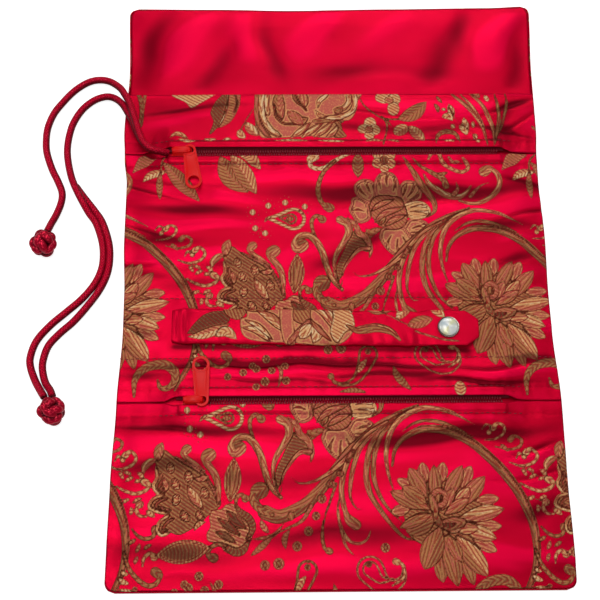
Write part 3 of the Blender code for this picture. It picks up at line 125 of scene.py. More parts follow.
# Woven figure, in millimetres, which repeats every REPEAT across. A kind is one of PROFILES, a blob for a
# closed outline, an oval, dots or a bead. A tone runs from 0, dark brown, to 1, cream, and a stroke with two
# tones has one on each side. A thread angle is in degrees, and -1 leaves a blob plain. One number as the
# option is a ring's width, and two are the tone and width of a rim.
REPEAT = 179.0
DESIGN = shapes("""
# Rose with its small flower: seven petals with gold rims round a folded core.
leaf 1.9 0.4 60 : -7.5,-75.6 -13,-79.4 -18,-81
leaf 1.5 0.5 60 : -6,-76 -11.5,-78 -14.6,-76.4
blob 0 0.64 -1 0.54/1.3 : -13.1,-62.1 -17.3,-59.2 -20.3,-60.2 -20.8,-63 -22,-66.4 -20.1,-70.2 -18.2,-73
  -15,-73.5 -11.6,-71 -12,-65.9
blob 0 0.64 -1 0.56/1.3 : -12,-63.6 -17.8,-58.8 -19.2,-54 -17.3,-51.1 -14,-49.9 -10.7,-50.7 -8.9,-53
  -8.4,-58.8 -10,-61.6 | 4.2,-75.4 7,-71.6 11.7,-71.6 15.4,-73.5 15.9,-76.9 14.5,-80.2 10.7,-81.6 7,-80.7
  3.6,-78.3 | 2.3,-59.2 2.8,-54 5.1,-51.1 8.4,-50.7 11.7,-52.1 13.6,-55.4 13.1,-59.7 9.8,-62 5.6,-63.6
  3,-62.6
blob 0 0.7 -1 0.78/1.3 : 4,-63.6 9.8,-61.6 14,-62.1 16.8,-65 17.3,-68.3 15.4,-70.7 10.7,-71.6 7,-71
  4.6,-68.8
blob 0 0.64 -1 0.56/1.3 : -7.9,-80.2 -6.1,-76 -1.4,-75.6 3.7,-75.6 7.9,-80.7 10.3,-83.5 8.9,-87.8 5.1,-89.7
  0.9,-90.7 -3.3,-88.3 -6.5,-84 | -8.9,-59.6 -9.2,-51.6 -6.5,-47.3 -1.9,-46.4 1.4,-48.8 2.8,-53.5 2.4,-61
  -3.3,-60
taper 0.55 0.84 60 : -6.6,-48.6 -7,-51 -6.2,-54.6 | -2.6,-47.8 -3.4,-50 -3.2,-53 | 0.2,-49.4 0.8,-52
  -0.2,-56 | -17,-53.6 -15.6,-56.4 -13,-59 | -13.6,-51.4 -12.4,-54 -11.4,-57 | 6,-52.6 5.6,-55.6 4.4,-58.6
  | 10,-52.6 9,-56 6.6,-59.4 | 12,-57 10,-59.4 7.4,-61
taper 0.8 0.94 60 : 14.6,-64.6 11.6,-64.4 8,-65.2 | 15.6,-68 12,-67.4 7.4,-67.6
taper 0.55 0.84 60 : 14,-75 11,-75.4 8,-76.4 | 12.4,-79.6 10,-78.6 7.4,-78.4 | -4,-86.4 -3.6,-83 -2,-80 |
  1,-89 0.6,-85.4 1,-81.6 | 7,-86.4 5,-83.6 3.4,-80.4
taper 0.6 0.74 60 : -19.6,-66 -17,-66.4 -14.6,-67.4
blob 0 0.56 45 : -12.1,-64.9 -10.7,-61.1 -7.5,-58.8 -1.4,-58.8 3.3,-60.2 4.7,-64 6.1,-69.7 4.7,-74.5
  0.5,-76.9 -4.2,-76.4 -7.9,-74.5 -10.7,-70.7
swell 1.7 0.6/0.5 75 : -9.6,-73 -4.4,-68.4 4,-65.4
swell 1.5 0.66/0.5 75 : -11,-67 -6.4,-63.4 -0.6,-61
swell 1.6 0.6/0.46 75 : -4.6,-74.8 0,-71.6 5,-69.6
leaf 1.1 0.34 75 : -8,-75 -5.6,-72 -4.4,-70
oval 2.7/2.7 0.8 0 : -7.2,-37.5
oval 2.7/2.7 0.8 60 : -1.4,-38
oval 2.5/2.5 0.76 60 : -7.6,-42 | -1.2,-42.2
oval 2.2/2.2 0.8 60 : -4.2,-44.6
oval 1.9/1.9 0.25 0 : -4.3,-40.4
# Scrolls and leaves to the right of the rose.
swell 1.7 0.36/0.5 80 : 5,-39 9,-45 13,-52 17,-58 19.3,-63 19,-67.5 15.5,-70.5
taper 1.6 0.38 60 : 25.5,-53.5 24,-50 19,-47 13,-43 8,-38
leaf 0.9 0.42 40 : 21,-47 24,-47.5 27,-46.5
swell 1.7 0.82/0.5 80 : 14.8,-47.7 17,-52 21,-55.4 26,-58.6 31,-59.4 35,-57 37.5,-53.5
taper 1.3 0.6 40 : 29,-58 31,-55 30.4,-51.5
ball 1.3 0.74/0.5 80 : 31.6,-61.5 36,-63 41,-62.7 46,-60 50,-56 51.6,-51.5 50.5,-47.5 47,-45 44,-46.4
taper 1 0.6 60 : 37,-59 40,-55.5 43,-53 46.5,-52
even 1 0.66 60 : 17.3,-40.2 19,-37 22.3,-37 24,-41.5 28.5,-45 33.5,-46.5 36.6,-44 34,-39.6
even 0.7 0.6 60 : 27,-39 29,-41.5 32,-41.5
blob 0 0.62 60 : 52.5,-46 54,-41 56,-37 60,-36 66,-36.5 63,-39 60,-42 56,-44
leaf 2.1 0.7/0.85 40 : 57.5,-50.8 62,-47 70,-45.6
leaf 3.6 0.4/0.56 35 : 67,-40 73,-47 79,-54 86,-62
leaf 1.6 0.5 40 : 66.5,-45 66,-51 66.5,-61
even 0.5 0.5 0 : 70,-36 67,-40 66.5,-46
# Leaf pair to the left of the paisley.
leaf 4.9 0.4/0.5 50 : -84,-38 -79,-48 -70,-57
leaf 4.2 0.78/0.5 50 : -79,-37 -73,-46 -66,-58
leaf 2.8 0.78 40 : -77,-36 -70,-38 -64,-45
# Paisley with its ring of dots.
cone 5.9 0.8 80 1.7 : -61.5,-70.4 -56,-70.8 -48.4,-71
cone 2.9 0.5 0 0.9 : -56,-70.2 -49.6,-71
oval 1.9/1.3 0.42 0 : -50.2,-71
taper 0.7 0.74 60 : -60,-70 -62,-72 -62.4,-74.2
dots 1.4 0.88 0 : -68,-67.3 -66.7,-75.7 -62,-78.3 -60.5,-64 -52.4,-62.4 -43,-64.6
# Hooked scroll.
ball 1 0.42 60 : -38,-80 -39.6,-76 -39.6,-71.5 -37,-69.4 -34.6,-71.5
ball 1.7 0.34/0.72 80 : -26,-107 -29,-104 -31.5,-100 -33.4,-94 -35,-88 -38,-82.4 -41.5,-79.6 -45.5,-80
  -47.6,-83 -46.4,-85.6 -44.6,-84.6
leaf 3.7 0.44/0.36 84 0.74/1 : -46.8,-88.6 -47.2,-98 -48.4,-109.4
ball 1.2 0.9 60 : -20,-36.8 -24,-38.4 -28.4,-41 -32,-43.4 -35.9,-44.6 -39.6,-43.4 -40.5,-40.2 -38,-38.6
ball 1.2 0.4 60 : -28.4,-41 -33.4,-46 -35.9,-51.5 -36.5,-57 -34.6,-62.7 -31,-65.4
leaf 2.8 0.4 40 : -17,-36.5 -17,-43 -17,-49.5
# Trumpet flower.
blob 0 0.34 75 : -21,-77 -16,-80.5 -13,-84 -13,-88 -17,-87.5 -21,-91 -25,-98 -28,-104 -28.4,-96 -24.6,-87
  -22,-81
taper 2 0.5/0.72 80 : -26.2,-71.6 -22.9,-74 -22.2,-78.3 -24.6,-83 -27.8,-88.3 -29.4,-93.5 -29,-99.2
  -26.6,-106
swell 1.7 0.6 70 : -22.6,-70.8 -18.9,-74.5 -17.4,-78.6 -13.8,-81.4 -12,-86.9 -12.6,-91
taper 1.2 0.6 80 : -13,-86.4 -17.4,-86.8 -21.6,-91.4 -25,-97.4 -26,-104.6
# Pomegranate.
blob 0 0.4 55 : -82,-89.7 -80.4,-97.6 -82.3,-102 -78.8,-105.5 -82.3,-107.2 -83.7,-110.8 -80.7,-112.6
  -75.6,-114.4 -78.8,-117.4 -79.7,-121.3 -78.1,-123.2 -74.9,-122 -70.5,-123.2 -66,-121.3 -60.9,-118
  -57.7,-114.7 -53.3,-111.4 -52.3,-108.8 -53.9,-104.9 -56.5,-100.3 -59.7,-95.6 -64.1,-93 -68.6,-90.1
  -73.7,-88.1 -77.5,-85.1 -79.4,-87.8
even 0.8 0.78 84 : -81.4,-93 -80.8,-98 -82.3,-101.4 -80,-105 -77.6,-105.6 | -78,-105.8 -82,-107.2
  -83.8,-110.6 -81,-112.6 -75.6,-114 | -75,-114.6 -78.8,-117.2 -80,-121 -78.2,-123.2 -75,-122.4
even 0.6 0.62 84 : -79,-96 -78.6,-99 -79.8,-101.6 -77.6,-104 | -76,-107 -79.4,-108.4 -81,-110.4
  -78.4,-111.4 -74.4,-112.4 | -73,-116 -76,-118 -77.4,-120.6 -75.6,-121
even 0.7 0.62 84 : -73,-88.4 -68,-91.4 -63,-94.4 -58.6,-98.6 -55,-105 -53.6,-109.6
leaf 2.2 0.5/0.62 60 : -80.6,-90.4 -80.4,-86 -78.8,-81.6
leaf 1.7 0.5/0.76 80 : -80.6,-89.4 -84,-90.4 -86.6,-93 -86.8,-96.4
ball 1.1 0.5/0.72 80 : -60,-95 -64,-91.6 -67.6,-89 -69.8,-86.6 -67.8,-84.8
ball 1.6 0.48/0.66 80 : -53.4,-108 -53.8,-101 -55.5,-96 -58.4,-92 -59.8,-89.4 -57.8,-87.6
leaf 2.1 0.8/0.56 60 : -67.4,-101 -64.6,-106 -60,-112.4
leaf 1.3 0.62 60 : -64.6,-98 -61.4,-98.6 -57.4,-97 | -78,-97.6 -76.6,-102 -77,-104.4
leaf 1.7 0.68 20 0.84/0.8 : -75.4,-90.8 -75,-93.4 -74.2,-96
leaf 1.9 0.68 20 0.84/0.8 : -67.2,-94.6 -66.8,-97.4 -66,-100.4
leaf 1.8 0.68 20 0.84/0.8 : -73.4,-98 -72.8,-100.4 -71,-103
leaf 1.8 0.68 20 0.86/0.8 : -71.6,-105 -72,-107.6 -72.6,-110.4
leaf 1.8 0.68 20 0.84/0.8 : -69.6,-112.4 -68.2,-115 -66,-117.4
leaf 1.7 0.68 20 0.84/0.8 : -60,-101.8 -59.6,-104.6 -58,-107.4
leaf 1.6 0.66 20 0.82/0.7 : -62.6,-112.6 -61.6,-115 -59.6,-116.6
leaf 1.2 0.74 30 : -64,-121.6 -62,-118.6 -58.6,-117.4
# Tulip.
blob 0 0.68 70 : -56.4,-112.5 -52,-112 -50,-110 -46.5,-110 -44.5,-113 -41,-115 -38.5,-117 -37,-120.5
  -38.5,-124 -40,-128 -42,-131 -46,-132 -50.5,-130.5 -53,-127 -57.5,-126 -58.4,-123 -56.8,-119.5 -57.4,-116
leaf 2 0.2 80 : -50,-112.6 -46,-117 -41,-121
leaf 1.6 0.2 80 : -54,-115.8 -49,-119.6 -43.4,-124
leaf 1.4 0.24 80 : -55,-121.6 -50,-124 -45.4,-127
swell 1.7 0.3 20 : -46,-109.5 -44,-113 -39.8,-116.5 -38.4,-121 -41,-125
swell 1.9 0.3 20 : -51,-127.5 -46.6,-130.6 -42.6,-130 -40,-126
ball 0.9 0.42 60 : -45.6,-111 -45.6,-107.4 -43.5,-105.5 -41.6,-107.4
ball 1.1 0.3 60 : -50,-128 -54,-127.5 -57.4,-129.5 -57.4,-132.4 -55.2,-133.2
leaf 5 0.36 12 0.72/1.1 : -80.6,-132 -69,-130.6 -56.6,-128.6
# Large double scroll that sweeps up under the rose.
taper 3.2 0.5/0.3 82 : -33,-113.6 -28,-115.6 -23,-114.5 -15,-110 -8,-103 -2,-95 4,-87 10,-81 17,-75 25,-70
  36,-65.5
ball 2 0.4/0.28 60 : -30,-114.6 -34.6,-112.6 -37.6,-109 -37.6,-105.6 -35.2,-103.8
taper 1.3 0.66 80 : 5,-88 1,-91.6 -5,-96.4 -12,-100 -18,-100.5 -21.8,-97.4
# Fan of scrolls.
swell 1.3 0.36/0.55 82 : 36,-66.5 30,-69 24,-73 17.5,-79 14,-85 12.4,-92 12,-99 13.6,-106 17,-112 22,-119
  28,-125 35.4,-126.4
swell 1.1 0.5/0.34 82 : 34,-68.5 26,-73 20,-78 17,-84 15.4,-91 15.2,-98 17,-105 20.6,-111.6 27.4,-119
swell 1.1 0.62/0.4 82 : 27,-71 19,-75.6 13,-80.6 9,-86 6.4,-93 5,-100 4.6,-107 7,-112 9.4,-112.6
ball 1.2 0.4/0.66 82 : 22,-73 13.6,-78 8,-83.6 4.6,-89 2,-96 0.8,-103 1.4,-110 3.4,-116.4 6.8,-119.4
swell 0.8 0.72 82 : -0.2,-106 -1,-113 0.4,-121 4,-126.4 8.6,-127.4 12,-125 13.4,-120.6
taper 0.8 0.72 82 : 0.4,-122 2,-128 5,-132 9,-134.6
taper 0.7 0.4 60 : -1.6,-101 -4,-108 -6.6,-115.4 -7.6,-122 -6.6,-128
ball 0.8 0.42 60 : -7.6,-118 -8,-125 -7,-129.6 -4.8,-130.8
swell 1.3 0.72/0.52 82 : 24,-105 21.6,-96 21,-87.6 22.6,-79.6 26,-73.6 31.4,-69.4 38,-67 45,-67.4 52,-69.4
  61,-74.4
swell 0.9 0.3/0.5 82 : 28,-78 33,-74.4 39,-72.6 46,-73.4 52,-75.6 60.4,-79.6
swell 2.3 0.5/0.28 84 : 23.6,-93 25,-86 29,-80.6 36,-77 44,-76.4 52,-78.4 60,-83 67,-89.6 73.6,-97 79,-105
  83,-114 85,-122 85.4,-131 83.6,-140 80,-148 76,-156
even 0.35 0.72 84 : 30,-78.4 36,-75.4 44,-75 52,-77 60.6,-81.8 68,-88.6 74.6,-96 80.4,-104.6 84.4,-114
  86.4,-122 86.8,-131 85,-140 81.6,-148 77.6,-156
# Row of beads.
bead 0.8 0.74 0 : 6.3,-86.3
bead 1.1 0.74 0 : 3.8,-90.4
bead 1.5 0.7 0 : 0.4,-96.3
bead 1.8 0.66 0 : -3.8,-101
bead 2 0.6 0 : -7.9,-107.8
bead 1.8 0.66 0 : -10.6,-115.4
bead 2 0.6 0 : -14,-122
bead 2.1 0.56 0 : -19,-128.5
bead 2.4 0.6 0 : -27,-136
bead 2 0.72 0 : 19.4,-129.4
bead 2.1 0.6 0 : -33,-136.6
bead 1.9 0.72 0 : -61.5,-141
bead 2 0.7 0 : -66,-146
bead 1.8 0.74 0 : -59,-147 | -72,-148
bead 2 0.72 0 : -62,-152.4
bead 1.8 0.74 0 : -66,-155
bead 1.9 0.72 0 : -53,-144.6 | -52.4,-152
bead 1.6 0.72 0 : -79,-150
swell 0.9 0.6 60 : -57,-143 -54.6,-148 -56,-155
# Paisley drops near the lower edge.
cone 4.6 0.42 80 1.1 : -31,-152.6 -27,-154 -21,-152 -17,-146 -14.6,-139
ball 0.8 0.44 60 : -25,-153.6 -30,-153 -32,-150
leaf 1.5 0.74 30 : -20,-149 -17.4,-144 -15,-141
bead 1.4 0.6 0 : -14.6,-137.6
cone 6.2 0.72 80 0.9 : 27,-137 26.6,-142.6 22,-146 17,-144.6 12.6,-139
cone 3.6 0.76 80 0.8 : 23,-142.6 17,-143 12.6,-138.6
ball 0.8 0.76 60 : 22,-145.6 27,-142 26.6,-137 23.6,-135.4
bead 1.3 0.5 0 : 12,-136.6
# Twig.
swell 0.9 0.6 60 : -25,-119 -30,-124 -38.8,-125.4
leaf 1.4 0.5 30 : -29,-123.4 -35,-129 -39.8,-133
leaf 1.3 0.66 30 : -35,-116.6 -33.6,-120 -31,-123
taper 1 0.5 60 : -12.6,-111 -17,-117.6 -24,-121 -30,-124
leaf 1.3 0.5 30 : -22,-121 -24.4,-125 -24,-130
oval 1.4/2 0.5 20 : -21.6,-115.4
# Chrysanthemum: short pink petals behind, long striped ones in front, then its folded heart.
blob 0 0.4 60 : 30,-101 37,-99 45,-99 54,-99 60,-105 63,-112 63,-122 60,-132 53,-137 45,-136 38,-130
  30,-124 28,-116 26,-108
petal 2.5 0.68 84 : 38,-101 36.8,-91.6 | 45,-101 46.2,-91.6
petal 2.6 0.68 84 : 54,-103 58.6,-93.4
petal 2.4 0.68 84 : 60,-109 70.4,-108
petal 2.6 0.7 84 : 58,-120 71,-120.4 | 58,-126 68,-131.4
petal 2.5 0.68 84 : 31,-112 22.4,-114.2
petal 2.3 0.68 84 : 34,-104 25.4,-99
petal 2.7 0.5 84 : 42,-132 44,-144.6
petal 2.9 0.5 84 : 52,-128 57.4,-146
petal 3.3 0.46/0.56 84 : 38,-107 31,-94
petal 2.9 0.5/0.4 84 : 42.5,-112 42,-92.4
petal 3.2 0.56/0.5 84 : 46,-109 54.8,-93
petal 3.5 0.62/0.52 84 : 52,-112 64.6,-98
petal 2.8 0.74/0.6 84 : 50,-113 57.4,-103
petal 3.4 0.82/0.66 84 : 52,-117 72.6,-112.6
petal 3.2 0.8/0.68 84 : 52,-120 68.4,-126
petal 4.3 0.8/0.5 84 : 51,-125 63.4,-142
petal 3.9 0.44/0.5 84 : 46,-125 50.4,-146.4
petal 3.5 0.44/0.56 84 : 39,-112.6 22,-104.6
petal 3 0.4/0.46 84 : 38,-110 27.6,-102.4
petal 4.6 0.44/0.52 84 : 41,-116 29,-122.4
petal 2.4 0.5/0.4 84 : 40,-115 25.6,-121
petal 4.8 0.42/0.52 84 : 43.6,-121 36,-139
petal 2.6 0.5/0.74 84 : 49,-121 60.4,-121.4
petal 2.6 0.42/0.56 84 : 47,-124 52,-136
petal 2.5 0.62/0.5 84 : 46,-115 57,-108
petal 2.4 0.5/0.62 84 : 44.6,-113 50.6,-103.4
oval 3.9/4.6 0.56 60 2.2 : 43.8,-107.8
petal 1.8 0.36/0.5 84 : 43,-118 39.6,-105
leaf 3.2 0.52/0.3 60 : 43,-119 49,-119.6 55.6,-118
leaf 1 0.08 0 : 44,-119.6 47.6,-119.8 51,-119
leaf 0.8 0.9 84 : 46,-122.4 50,-122.6 54,-120.6
leaf 1.6 0.34 60 : 41.4,-113 42.4,-117 45,-121.6
# Curls and sprigs between the big scroll and the pomegranate.
ball 0.6 0.72 60 : 64.6,-76.6 66.6,-74.4 68.6,-75.6 67.6,-78
ball 0.7 0.74 60 : 65.4,-81.4 70,-81 74,-78.6 74.6,-75.4 71.6,-74 69.6,-76
ball 0.7 0.5 60 : 70,-84.6 76,-86 81,-84.6 82,-81.4 79,-79.6 77,-81.4
leaf 0.9 0.5 30 : 72,-83 74,-85 76,-87.4
ball 0.8 0.74 60 : 76,-92 81,-93.6 86.6,-92 88.6,-88.6 86,-85.6 83.4,-87.6
ball 0.6 0.76 60 : 79,-90 80.6,-87.6 82.6,-89.6
even 0.3 0.56 0 : 80,-93.4 85,-96 90,-99
leaf 0.9 0.7 30 : 80.6,-95 82,-96 83.4,-98.4 | 83.6,-94 85,-95.4 87,-95.8
leaf 0.9 0.72 30 : 84,-99.4 86,-98 88,-97.2
leaf 1 0.74 30 : 89,-95 91,-96.4 92.6,-98.6
leaf 0.9 0.72 30 : 88,-100 90,-99 92,-99
ball 0.9 0.74 60 : 80.4,-101.4 84,-103.4 88.6,-104.8 93,-103.6 95,-101 92.6,-99.6
even 0.3 0.56 0 : 82,-106.6 88,-109 93,-112
leaf 0.9 0.72 30 : 83,-109 85,-107.6 86.6,-107.4 | 88,-109 89.6,-107.6 92,-107 | 86.6,-114.6 87.4,-112.6
  87,-110.4
ball 0.9 0.7 60 : 94,-115 91,-114.6 89.6,-112 91,-109.6
leaf 1.2 0.74 30 : 93.6,-112.4 96,-114 98,-115.6
ball 0.9 0.36 60 : 88,-120.6 90.6,-123.4 94,-124.8 97.4,-123.6 98,-120.6
leaf 0.9 0.4 30 : 86,-127 88,-126 90,-124.6
leaf 0.9 0.6 30 : 89.6,-131 91,-128.6 91.6,-126.4
leaf 0.9 0.4 30 : 93,-129.6 95,-128 97,-127
ball 0.9 0.72 60 : 93,-136.4 93.6,-133 96,-131 98,-132.6
leaf 0.9 0.6 30 : 89.6,-136 90,-134 91,-132
ball 1.1 0.38 60 : 84.6,-130.6 87,-137 91,-142 95.4,-144.8 99,-144 100.6,-140.8 98.6,-139
leaf 1.2 0.82 30 : 82.6,-141 84.6,-143 87.6,-144
leaf 1 0.8 30 : 84,-138 85,-139.6 87,-140
leaf 1 0.82 30 : 83,-146 85.6,-147 89.6,-147
bead 1.2 0.8 0 : 90,-146.4
bead 1.7 0.78 0 : -67.8,-144.4
bead 1.5 0.78 0 : -58.8,-147
swell 2.3 0.42 60 : 57.5,-158.4 57.5,-151.5 60,-146.8 65,-144 71.3,-143.6 75.6,-147 76,-151.5 73,-154.6
  69.4,-154.4 68,-151
leaf 1.8 0.42 30 : -3.4,-144 -1.6,-150 5,-158
leaf 2.6 0.8 30 : 27,-152.6 26.6,-156 27,-160
leaf 1.2 0.44 30 : -29,-158 -22,-157 -15,-158.4
""")
# Strip above the upper zip, in the panel's own place.
STRIP = shapes("""
blob 0 0.86 60 : -80,98 -79,95 -73,92 -69.5,88.5 -65,91 -59,95 -55,98
blob 0 0.28 40 : -52,98 -57.4,92 -60,85 -58.4,80 -60.4,72.5 -56,77 -53.4,82 -52,90
blob 0 0.5 70 : -52,98 -52,90 -53.4,83 -56,76.6 -50.4,79.6 -46.8,86 -45.4,92 -46,98
even 0.5 0.92 80 : -51.6,98 -51.8,90 -53.4,83 -56.2,77
even 0.4 0.9 80 : -48.6,98 -47,91 -48.4,85
blob 0 0.64 -1 : -36,98 -38.4,90 -38,83 -37.5,77 -35,71 -30,70.4 -20,70.8 -10,71.4 -5,70.4 5,70.4 6.5,72
  4,77 4,80 9,81 12,86 12.6,91 11,98
even 1.1 0.5 80 : -37,98 -37.4,88 -36.6,80 -33.6,74 -31,71
even 1.4 0.94/0.72 80 : -34.6,98 -35,89 -33.6,81 -30,75 -26,71.6
even 1.1 0.7/0.9 80 : -31.6,98 -32.4,91 -31.6,84
leaf 2.8 0.62/0.45 60 : -26,99 -26.4,90 -24.4,80.6
even 0.6 0.2 80 : -28.6,90 -27.6,83 -24,79 -17,78.6
leaf 3.4 0.7/0.5 70 : -19,99 -15.6,94 -13,88
even 0.5 0.2 80 : -18.6,97 -16,91 -12.6,86
leaf 2.2 0.4 60 : -20,82 -16,80 -12,82
leaf 2.6 0.62 70 : -22,86 -18,82 -14,78
even 1.2 0.36 80 : -9,80 -2,80.6 5,80
swell 1.6 0.84/0.66 80 : -20,70.6 -16,74 -11,79 | -15,70.6 -10,75 -5,79
swell 1.6 0.8/0.6 80 : -9,71 -4,75 0,79.6
swell 1.6 0.78/0.55 80 : -3,70.6 1,74 4,79
blob 0 0.42 40 : 1,80 3,76 1,71 5,70.4 7,71.6 5,75 4,80
even 1.3 0.9/0.72 80 : 10.6,98 11.6,91 9.6,85.6 4,82.6 -3,82
even 1.2 0.74/0.9 80 : 8,97 8.6,92 6.4,88 2,85
swell 1.2 0.86 80 : -7,88 -6,92 -3,95 -1,98
swell 1 0.8 80 : -8,86 -6,83.4 -3,82.6
leaf 1.6 0.44 60 : 1,87 3,86 5,88
even 0.35 0.5 0 : -38.4,88 -43,80 -45,75
leaf 1.9 0.8 60 : -45.4,75.6 -45,72.6 -42.6,70.4
leaf 2.4 0.92/0.6 60 : -42.8,80 -40,75.6 -36,71.6
leaf 1.3 0.8/0.4 60 : -80,71 -76,73.4 -70,70
leaf 1.1 0.84 60 : -76,70.6 -71,68.6 -66,69
leaf 0.9 0.8 60 : -64,70 -60,69.4 -56,70
leaf 0.8 0.84 60 : -54,69.4 -51,70 -49,69
leaf 0.9 0.8 60 : -30,68.6 -20,69 -10,68.4
leaf 0.9 0.84 60 : -9,68.8 0,68.4 8,67.6
even 1.1 0.3 60 : -96.6,98 -94.6,92 -94,86 -94.4,78
taper 0.8 0.5 60 : -92.6,98 -93,90 -94,80
oval 4.4/3.6 0.84 60 : 26,93.6
oval 3.2/3.6 0.84 60 : 31,92.6
oval 3/3.8 0.8 60 : 30.4,87
oval 2.2/2.2 0.66 60 : 28.4,92
oval 3/3.4 0.86 60 : 18.6,78.8
oval 3/2.6 0.86 60 : 15.4,75.6
oval 3/3 0.84 60 : 20.6,75
oval 2.4/2.4 0.84 60 : 18,71.8
oval 1.9/1.9 0.62 60 : 18,75.4
even 0.5 0.44 60 : 13.6,94 16,88.8 20,85 25,81.6 33,80.8
leaf 3.7 0.4/0.52 55 : 32,80.8 40,84 47,91
even 0.5 0.44 60 : 24.6,83 27,77.5 25.8,71 24.6,66
taper 0.5 0.44 60 : 27,81 30,76 33,73
leaf 3 0.8/0.6 40 : 30.6,72.6 33.6,75 37,77
leaf 2.8 0.8/0.62 40 : 37.6,77.4 41,73.4 45,68
leaf 1 0.7 40 : 15,67.6 20,69 26,68
leaf 0.9 0.7 40 : 26,69 30,68.6 33,67
swell 1.4 0.36 60 : 50.4,67 52,72 56,74 60.4,72.4 62.4,67
leaf 0.9 0.84 40 : 54,67.6 57,68.6 60,67.4
leaf 1.1 0.36 40 : 50.4,90 52,87.6 52.6,84
leaf 0.9 0.4 40 : 52,95 53.4,92 55,89.6
oval 1.1/0.9 0.84 40 : 55.2,86.3
leaf 1.7 0.8 60 : 58,89.6 58.8,86 60,82 | 54,82 57.4,82.6 59.6,80
oval 1.2/1.4 0.8 40 : 59.4,77
leaf 1.7 0.84 60 : 65,82 65.6,78 66.6,74 | 62.4,77.6 65,74.6 66,71.6
oval 0.9/1.8 0.82 40 : 69.4,78
oval 1.2/1.6 0.82 40 : 70,71
oval 1.1/1.1 0.8 40 : 71,68
even 0.25 0.6 0 : 57,90 61,81 66,76 71,69
swell 1.2 0.3/0.7 84 : 57,98.5 65,90 71.3,82.5 74.4,75 75.6,65
swell 0.8 0.8/0.6 84 : 61.9,98.5 68.8,88.8 73.6,80 75.4,73.8
swell 1.1 0.45/0.7 84 : 66.3,98.5 73.8,90 78,80 79.2,73.8 78.8,65
swell 1 0.34 84 : 80.6,98.5 82,90 82.5,82.5 81.3,75 78.8,65
swell 0.8 0.38 84 : 85.6,98.5 86.9,91 85,82.5 82,72.5
leaf 1.2 0.84 40 : 76,95 77,93 77.4,91
leaf 1.2 0.5 40 : 69,98 72,95.6 74,93
leaf 0.8 0.5 40 : 98,78 100,76 101.6,75
""")
# Strap for rings, in its own place.
STRAP_DESIGN = shapes("""
blob 0 0.22 50 : -69,-31.4 -66,-27 -61,-22 -55,-20.2 -50,-20.4 -49.4,-25 -54,-28.6 -62,-31.6
leaf 2.3 0.66/0.86 50 : -69,-33 -60,-31.4 -49,-26.6
leaf 2.4 0.86 50 : -56,-33 -51,-30.4 -46,-34
blob 0 0.45 20 : -53,-17 -51,-22 -47,-24.6 -43.4,-23.6 -41,-17
blob 0 0.64 -1 : -43,-17 -41.4,-23 -44.4,-25 -41,-34 -20,-36 0,-37 8,-30 6,-24 4.6,-17
even 1.1 0.36 80 : -42,-19 -37,-19.6 -30,-18.6
leaf 2.2 0.5/0.8 70 : -37,-20 -30,-24 -23,-31.6
swell 1.5 0.92/0.7 70 : -43,-28.6 -37,-30 -31,-35
swell 1.2 0.74/0.92 70 : -42,-25 -36,-28 -30,-34
blob 0 0.63 -1 : -26,-17 -26,-27 -24,-36 -19,-36 -20,-27 -19.6,-17
blob 0 0.48 30 : -19.6,-17 -19.6,-25 -13,-27 -12,-22 -13,-17
even 1.2 0.56 70 : -22,-36 -17,-30 -12,-25
leaf 2.6 0.9 80 : -17,-34 -14,-30 -12,-27 | -11,-36 -9,-31 -11,-26.6
swell 1.4 0.86/0.66 80 : -12,-18 -6,-22 -1,-30
swell 1.4 0.86/0.6 80 : -7,-18 -3,-22 1,-30
swell 1.2 0.5 80 : -12,-25 -8,-30 -3,-35
blob 0 0.86 60 : -2,-17 5,-17 8.4,-28 4,-31 0,-36 -3,-31 -1.6,-24
swell 2.2 0.42 84 : 5,-28 10,-30.4 18,-29 25,-31 29,-35
even 0.6 0.72 84 : 9,-29 17,-27.6 24,-29.4 28,-33
leaf 1.9 0.8/0.45 80 : 11,-17 19,-20.6 30,-18
even 0.35 0.72 80 : 20,-20.4 27,-24.6 33.6,-28
leaf 2.4 0.88/0.7 50 : 27.6,-25.4 31,-21 35,-17
leaf 2.9 0.5/0.6 50 : 32.6,-28.4 38,-26.4 44.6,-25
leaf 2.2 0.8 50 : 43,-17 46,-20.6 50.4,-24.6
even 0.5 0.7 80 : 36,-30.6 41,-32.6 48,-35 56,-36
""")


def srgb(red, green, blue):
    """A colour given in 0 to 255, as linear light."""
    values = [channel / 255.0 for channel in (red, green, blue)]
    return tuple(v / 12.92 if v <= 0.04045 else ((v + 0.055) / 1.055) ** 2.4 for v in values) + (1.0,)


def smooth(low, high, value):
    """A share that eases from 0 at low to 1 at high."""
    share = np.clip((value - low) / (high - low), 0.0, 1.0)
    return share * share * (3.0 - 2.0 * share)


def table_value(rows, position, column):
    """A smooth value between the rows of a short table."""
    knots = rows[:, 0]
    at = np.clip(np.searchsorted(knots, position) - 1, 0, len(knots) - 2)
    share = smooth(0.0, 1.0, (position - knots[at]) / (knots[at + 1] - knots[at]))
    return rows[at, column] + (rows[at + 1, column] - rows[at, column]) * share


def side_x(y, side, inset=0.0):
    """Place of the roll's left or right edge, drawn in here and there and round at its corners."""
    draw = table_value(SIDE_DRAW, y, 1 if side < 0 else 2)
    rest = np.clip(CORNER - (LENGTH / 2.0 - inset - np.abs(y)), 0.0, CORNER)
    cut = CORNER - np.sqrt(CORNER ** 2 - rest ** 2)
    return side * (WIDTH / 2.0 - draw - cut - inset)


def sag_top(x, y):
    """Height up the roll, a little lower where its top edge sags."""
    return y - smooth(LENGTH / 2.0 - 12.0, LENGTH / 2.0, y) * table_value(TOP_SAG, x, 1)


